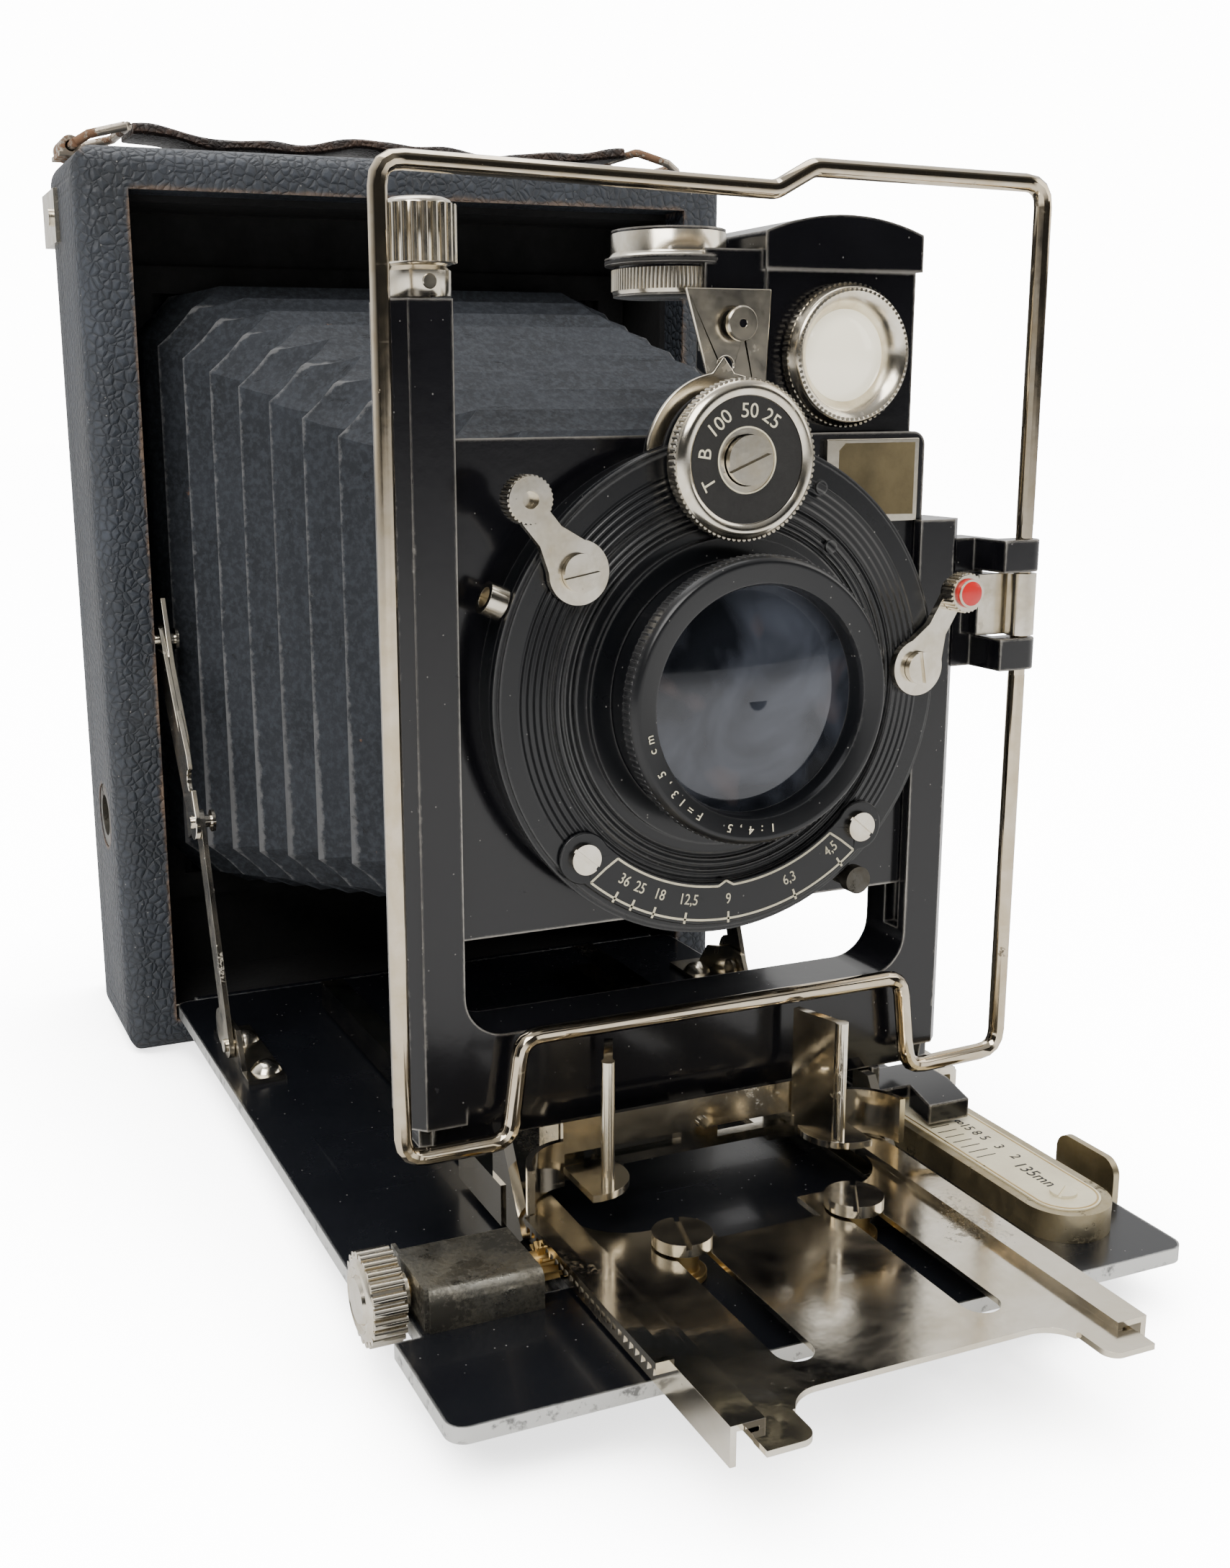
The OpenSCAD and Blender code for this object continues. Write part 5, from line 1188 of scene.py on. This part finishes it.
class PLATECAMERA_OT_make_focus_scale(bpy.types.Operator):
    """Print the distance scale's border, ticks and numerals on its ivory plate"""
    bl_idname = "plate_camera.make_focus_scale"
    bl_label = "Make the focusing scale"

    def execute(self, context):
        low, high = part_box("scale_plate")
        x = (low.x + high.x) / 2 / MM
        top = 13.1
        y_start, y_end = high.y / MM, low.y / MM

        def spot(cx, y, turn=-90.0):
            return Matrix.Translation(Vector((cx, y,
                top + 0.02)) * MM) @ Matrix.Rotation(math.radians(turn), 4, "Z")

        made = []
        for y, words in ((FRONT_Y - 114.1, "8"), (FRONT_Y - 116.0, "15"), (FRONT_Y - 118.4, "8"),
                (FRONT_Y - 120.4, "5"),
                         (FRONT_Y - 123.8, "3"), (FRONT_Y - 127.6, "2")):
            turn = 0.0 if y == FRONT_Y - 114.1 else -90.0
            made.append(letters(words, 1.7, spot(x + 1.5, y, turn)))
        made.append(letters("135mm", 2.1, spot(x + 0.2, FRONT_Y - 134.0)))
        ticks = run_tree("Tick row", {"Count": 7, "Step": 0.0019, "Width": 0.00018, "Length": 0.0034,
            "Depth": 0.00004,
                         "Material": finish_of("black_inlay")})
        ticks.transform(Matrix.Translation(Vector((x - 2.2, FRONT_Y - 114.1,
            top + 0.02)) * MM) @ Matrix.Rotation(math.radians(-90), 4, "Z"))
        made.append(ticks)
        new_piece("focus_scale_marks", join_meshes("focus_scale_marks", made), "camera_body", "black_inlay",
            smooth=0)

        def border(work):
            n, r_in, r_out = 24, 4.55, 4.8
            ya, yb = y_start - 5.1, y_end + 5.1
            outer = [(r_out * math.cos(math.pi * k / n),
                ya + r_out * math.sin(math.pi * k / n)) for k in range(n + 1)]
            outer += [(-r_out * math.cos(math.pi * k / n),
                yb - r_out * math.sin(math.pi * k / n)) for k in range(n + 1)]
            inner = [(r_in * math.cos(math.pi * k / n),
                ya + r_in * math.sin(math.pi * k / n)) for k in range(n + 1)]
            inner += [(-r_in * math.cos(math.pi * k / n),
                yb - r_in * math.sin(math.pi * k / n)) for k in range(n + 1)]
            total = len(outer)
            a = [work.verts.new(Vector((x + p, q, top + 0.05)) * MM) for p, q in outer]
            b = [work.verts.new(Vector((x + p, q, top + 0.05)) * MM) for p, q in inner]
            c = [work.verts.new(Vector((x + p, q, top - 0.02)) * MM) for p, q in outer]
            d = [work.verts.new(Vector((x + p, q, top - 0.02)) * MM) for p, q in inner]
            for k in range(total):
                m = (k + 1) % total
                work.faces.new((a[k], a[m], b[m], b[k]))
                work.faces.new((c[k], d[k], d[m], c[m]))
                work.faces.new((a[k], c[k], c[m], a[m]))
                work.faces.new((b[k], b[m], d[m], d[k]))

        new_piece("focus_scale_border", mesh_from("focus_scale_border", border), "camera_body", "brass")
        return {"FINISHED"}


# ---------------------------------------------------------------- finders

class PLATECAMERA_OT_make_finders(bpy.types.Operator):
    """Make the reflecting finder's milled lens mount and dome, and the round spirit level beside it"""
    bl_idname = "plate_camera.make_finders"
    bl_label = "Make the finders"

    def execute(self, context):
        low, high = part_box("finder_lens")
        cx, cz, front = (low.x + high.x) / 2 / MM, (low.z + high.z) / 2 / MM, low.y / MM
        place = facing_front(cx, front, cz)
        profile = [(6.3, -3.4), (9.4, -3.4), (9.7, -3.1), (9.7, -1.6), (9.5, -1.3), (9.3, -0.5),
            (9.0, -0.1), (8.6, 0.0),
                   (8.2, -0.2), (7.7, -0.55), (7.0, -1.4), (6.5, -2.3), (6.3, -2.6)]
        mount = mesh_from("mount", lambda work: lathe(work, profile, place, 128, closed=True))
        milled = ribs(72, 9.6, 1.4, 0.28, facing_front(cx, front + 2.3, cz), "nickel_satin", 8)
        beads = ribs(72, 8.75, 0.5, 0.24, facing_front(cx, front + 0.15, cz), "nickel_satin", 6)
        new_piece("finder_lens_mount", join_meshes("finder_lens_mount", [mount, milled, beads]), "finder",
            "nickel_satin",
                  ("finder_lens",), 40.0)
        dome = mesh_from("dome", lambda work: lathe(work,
            [(0, -0.9), (2, -1.0), (4, -1.45), (5.4, -2.1), (6.35, -2.7), (6.35, -3.2),
                         (0, -3.2)], place, 72))
        # The dome's glow is painted light from its finish's emission.
        new_piece("finder_dome", dome, "finder", "finder_glass")

        mount_y = -127.7 + 8.4
        place = upright(1.4, mount_y, 137.0)
        lower = mesh_from("lower", lambda work: lathe(work,
            [(0, -0.1), (6.9, -0.1), (7.6, 0.3), (7.7, 0.6), (7.7, 3.6), (7.3, 4.0),
                          (0, 4.0)], place, 96))
        ring = ribs(84, 7.65, 2.8, 0.24, upright(1.4, mount_y, 139.2), "nickel_satin", 8)
        upper = mesh_from("upper", lambda work: lathe(work,
            [(0, 4.9), (8.3, 4.9), (8.5, 5.1), (8.1, 5.4), (7.95, 5.8), (7.95, 8.3),
                          (7.6, 8.75), (7.0, 8.85), (6.7, 8.6), (6.1, 8.4), (0, 8.4)], place, 96))
        new_piece("spirit_level_case", join_meshes("spirit_level_case", [lower, ring, upper]), "finder",
            "nickel_satin",
                  smooth=40.0)
        band = mesh_from("band", lambda work: lathe(work,
            [(7.0, 3.95), (8.75, 4.1), (8.85, 4.5), (8.75, 4.95), (7.0, 5.0)], place, 96,
                         closed=True))
        new_piece("spirit_level_band", band, "finder", "black_inlay")
        window = mesh_from("window", lambda work: lathe(work,
            [(0, 8.95), (3, 8.9), (5.2, 8.65), (6.1, 8.35), (0, 8.35)], place, 64))
        # The window glows with painted light from the same emission.
        new_piece("spirit_level_window", window, "finder", "finder_glass")
        return {"FINISHED"}


# ---------------------------------------------------------------- small parts

class PLATECAMERA_OT_make_small_parts(bpy.types.Operator):
    """Add the red release button, the setting lever's milled grip, the label and the wire clasp's hinge clip"""
    bl_idname = "plate_camera.make_small_parts"
    bl_label = "Make the small parts"

    def execute(self, context):
        place = facing_front(37.0, COVER_Y - 4.2, 96.4)
        cap = mesh_from("cap", lambda work: lathe(work,
            [(0, 0.95), (0.8, 0.9), (1.5, 0.8), (2.0, 0.55), (2.05, 0.3), (2.05, -0.02),
                        (0, -0.02)], place, 48))
        new_piece("release_button", cap, "release", "red_lacquer")
        rims = [ribs(26, 2.6, 2.2, 0.22, facing_front(37.0, COVER_Y - 2.9, 96.4), "nickel_satin", 6)]
        new_piece("release_button_rim", join_meshes("release_button_rim", rims), "release", "nickel_satin")
        rims = [ribs(30, 2.9, 2.6, 0.22, facing_front(-29.6, COVER_Y - 3.1, 111.2), "nickel_satin", 6)]
        new_piece("setting_lever_rim", join_meshes("setting_lever_rim", rims), "setting", "nickel_satin")

        def label(work):
            n = 3
            front, back = BOARD_Y - 1.06, BOARD_Y - 0.99
            left, right, bottom, top = 22.0, 34.6, 106.9, 117.0
            strip(work, [(left, top - 1), (left, bottom + n), (left + n, bottom + 0.2), (right, bottom),
                (right, top), (left + 1, top)],
                  front, back)

        new_piece("blank_label", mesh_from("blank_label", label), "lens_panel", "old_paper", smooth=0)

        def pivot(work):
            place = facing_front(6.0, BOARD_Y - 1.45, 133.0)
            lathe(work, [(0, -0.12), (0.5, -0.12), (0.6, 0.0), (2.1, 0.0), (2.3, -0.2), (2.3, -0.8),
                (0, -0.8)], place, 40)

        new_piece("finder_pivot_head", mesh_from("finder_pivot_head", pivot), "finder", "nickel_polished")

        def clip(work):
            lathe(work, [(1.35, 0.0), (2.1, 0.0), (2.1, 9.0), (1.35, 9.0)],
                upright(51.5, STAND_Y - 3.0, 89.0), 32, closed=True)
            front, back = STAND_Y - 1.75, STAND_Y - 0.9
            strip(work, [(44.9, 89.1), (51.4, 89.1), (51.4, 97.9), (44.9, 97.9)], front, back)

        new_piece("wire_clip", mesh_from("wire_clip", clip), "standard", "nickel_satin")

        def hook(work):
            z0, z1 = 10.4, 17.75
            y0, y1 = STAND_Y + 5.9, STAND_Y + 14.1
            outline = [(46.2, z1 - 1.2), (49.9, z1 - 1.2), (50.1, z1 - 1.4), (50.1, z0), (51.25, z0),
                (51.25, z1 - 0.7), (50.6, z1),
                       (46.2, z1)]
            strip(work, outline, y0, y1)

        new_piece("infinity_hook", mesh_from("infinity_hook", hook), "standard", "nickel_polished")
        return {"FINISHED"}


# ---------------------------------------------------------------- stage

CAMERA_AZIMUTH, CAMERA_DIP, CAMERA_ROLL = 22.81, 13.10, 0.49


class PLATECAMERA_OT_make_stage(bpy.types.Operator):
    """Lay the pale floor, set the soft lights and place the camera"""
    bl_idname = "plate_camera.make_stage"
    bl_label = "Make the stage"

    def execute(self, context):
        scene = context.scene
        turn, dip, roll = (math.radians(v) for v in (CAMERA_AZIMUTH, CAMERA_DIP, CAMERA_ROLL))
        ahead = Vector((math.sin(turn) * math.cos(dip), math.cos(turn) * math.cos(dip), -math.sin(dip)))
        level = Vector((math.cos(turn), -math.sin(turn), 0.0))
        down = ahead.cross(level)
        side = level * math.cos(roll) + down * math.sin(roll)
        lower = down * math.cos(roll) - level * math.sin(roll)
        data = bpy.data.cameras.new("camera")
        data.lens, data.sensor_width = 38.84, 36.0
        data.shift_x, data.shift_y = 0.0533, 0.0093
        data.clip_start, data.clip_end = 0.01, 20.0
        camera = bpy.data.objects.new("camera", data)
        scene.collection.objects.link(camera)
        turned = Matrix((side, -lower, -ahead)).transposed().to_4x4()
        camera.matrix_world = Matrix.Translation((-0.1116, -0.3375, 0.1226)) @ turned
        scene.camera = camera

        def floor(work):
            for x, y in ((-6, -6), (6, -6), (6, 6), (-6, 6)):
                work.verts.new((x, y, 0.0))
            work.faces.new(work.verts)

        material, tree, shader = start_material("floor_paper")
        shader.inputs["Base Color"].default_value = rgba(settings_of(context).floor_color)
        shader.inputs["Roughness"].default_value = 0.9
        shader.inputs["Emission Color"].default_value = (1.0, 1.0, 1.0, 1.0)
        seen = node(tree, "ShaderNodeLightPath").outputs["Is Camera Ray"]
        # Where ambient occlusion finds parts close by, the floor's glow for camera rays drops: a painted contact
        # shadow under and beside the plate camera.
        painted_shadow_openness = node(tree, "ShaderNodeAmbientOcclusion", {"Distance": 0.09}).outputs["AO"]
        glow_with_painted_shadow = ramp(tree, painted_shadow_openness, 0.25, 0.95, 2.2, 13.0)
        feed(tree, shader.inputs["Emission Strength"], math_node(tree, "MULTIPLY", seen, glow_with_painted_shadow))
        ground = bpy.data.objects.new("floor", mesh_from("floor", floor))
        ground.data.materials.append(material)
        scene.collection.objects.link(ground)

        world = bpy.data.worlds.new("studio")
        world.use_nodes = True
        scene.world = world
        tree = world.node_tree
        tree.nodes.clear()
        seen = node(tree, "ShaderNodeLightPath").outputs["Is Camera Ray"]
        facing = node(tree, "ShaderNodeSeparateXYZ",
            {0: node(tree, "ShaderNodeTexCoord").outputs["Generated"]})
        behind = ramp(tree, facing.outputs[1], -0.2, 0.6, 0.03, 1.15)
        above = ramp(tree, facing.outputs[2], 0.35, 0.9, 0.0, 0.5)
        around = math_node(tree, "ADD", behind, above)
        strength = math_node(tree, "ADD", math_node(tree, "MULTIPLY", seen, 13.0), around)
        sky = node(tree, "ShaderNodeBackground", {"Color": (1.0, 0.995, 0.985, 1.0), "Strength": strength})
        node(tree, "ShaderNodeOutputWorld", {0: sky.outputs[0]})

        lamps = (("key_light", (-0.55, -0.75, 0.95), 0.7, 13.0, (1.0, 0.98, 0.95)),
                 ("side_light", (0.95, -0.35, 0.6), 0.8, 5.0, (1.0, 0.97, 0.92)),
                 ("top_light", (0.0, 0.25, 1.2), 0.9, 9.0, (1.0, 1.0, 1.0)))
        for name, spot, size, power, color in lamps:
            data = bpy.data.lights.new(name, "AREA")
            data.energy, data.size, data.color = power, size, color
            lamp = bpy.data.objects.new(name, data)
            lamp.location = spot
            lamp.rotation_euler = (Vector((0, -0.08, 0.08)) - Vector(spot)).to_track_quat("-Z",
                "Y").to_euler()
            scene.collection.objects.link(lamp)
        return {"FINISHED"}


# ---------------------------------------------------------------- panel and run

STEPS = (PLATECAMERA_OT_make_stage, PLATECAMERA_OT_finish_frame, PLATECAMERA_OT_make_bellows,
    PLATECAMERA_OT_make_strap,
         PLATECAMERA_OT_make_knobs, PLATECAMERA_OT_make_lens, PLATECAMERA_OT_make_dial,
         PLATECAMERA_OT_make_aperture_scale, PLATECAMERA_OT_make_focus_scale, PLATECAMERA_OT_make_finders,
         PLATECAMERA_OT_make_small_parts)


class PLATECAMERA_PT_panel(bpy.types.Panel):
    bl_idname = "PLATECAMERA_PT_panel"
    bl_label = "Plate Camera"
    bl_space_type = "VIEW_3D"
    bl_region_type = "UI"
    bl_category = "Plate Camera"

    def draw(self, context):
        settings = settings_of(context)
        for name in PlateCameraSettings.__annotations__:
            self.layout.prop(settings, name)
        for step in STEPS:
            self.layout.operator(step.bl_idname)


def register():
    for kind in (PlateCameraSettings, *STEPS, PLATECAMERA_PT_panel):
        bpy.utils.register_class(kind)
    bpy.types.Scene.plate_camera = bpy.props.PointerProperty(type=PlateCameraSettings)


def unregister():
    del bpy.types.Scene.plate_camera
    for kind in reversed((PlateCameraSettings, *STEPS, PLATECAMERA_PT_panel)):
        bpy.utils.unregister_class(kind)


def main():
    register()
    make_materials(bpy.context.scene.plate_camera)
    rib_ring_tree()
    tick_row_tree()
    for step in STEPS:
        group, name = step.bl_idname.split(".")
        getattr(getattr(bpy.ops, group), name)()
    bpy.context.view_layer.update()


if __name__ == "__main__":
    main()
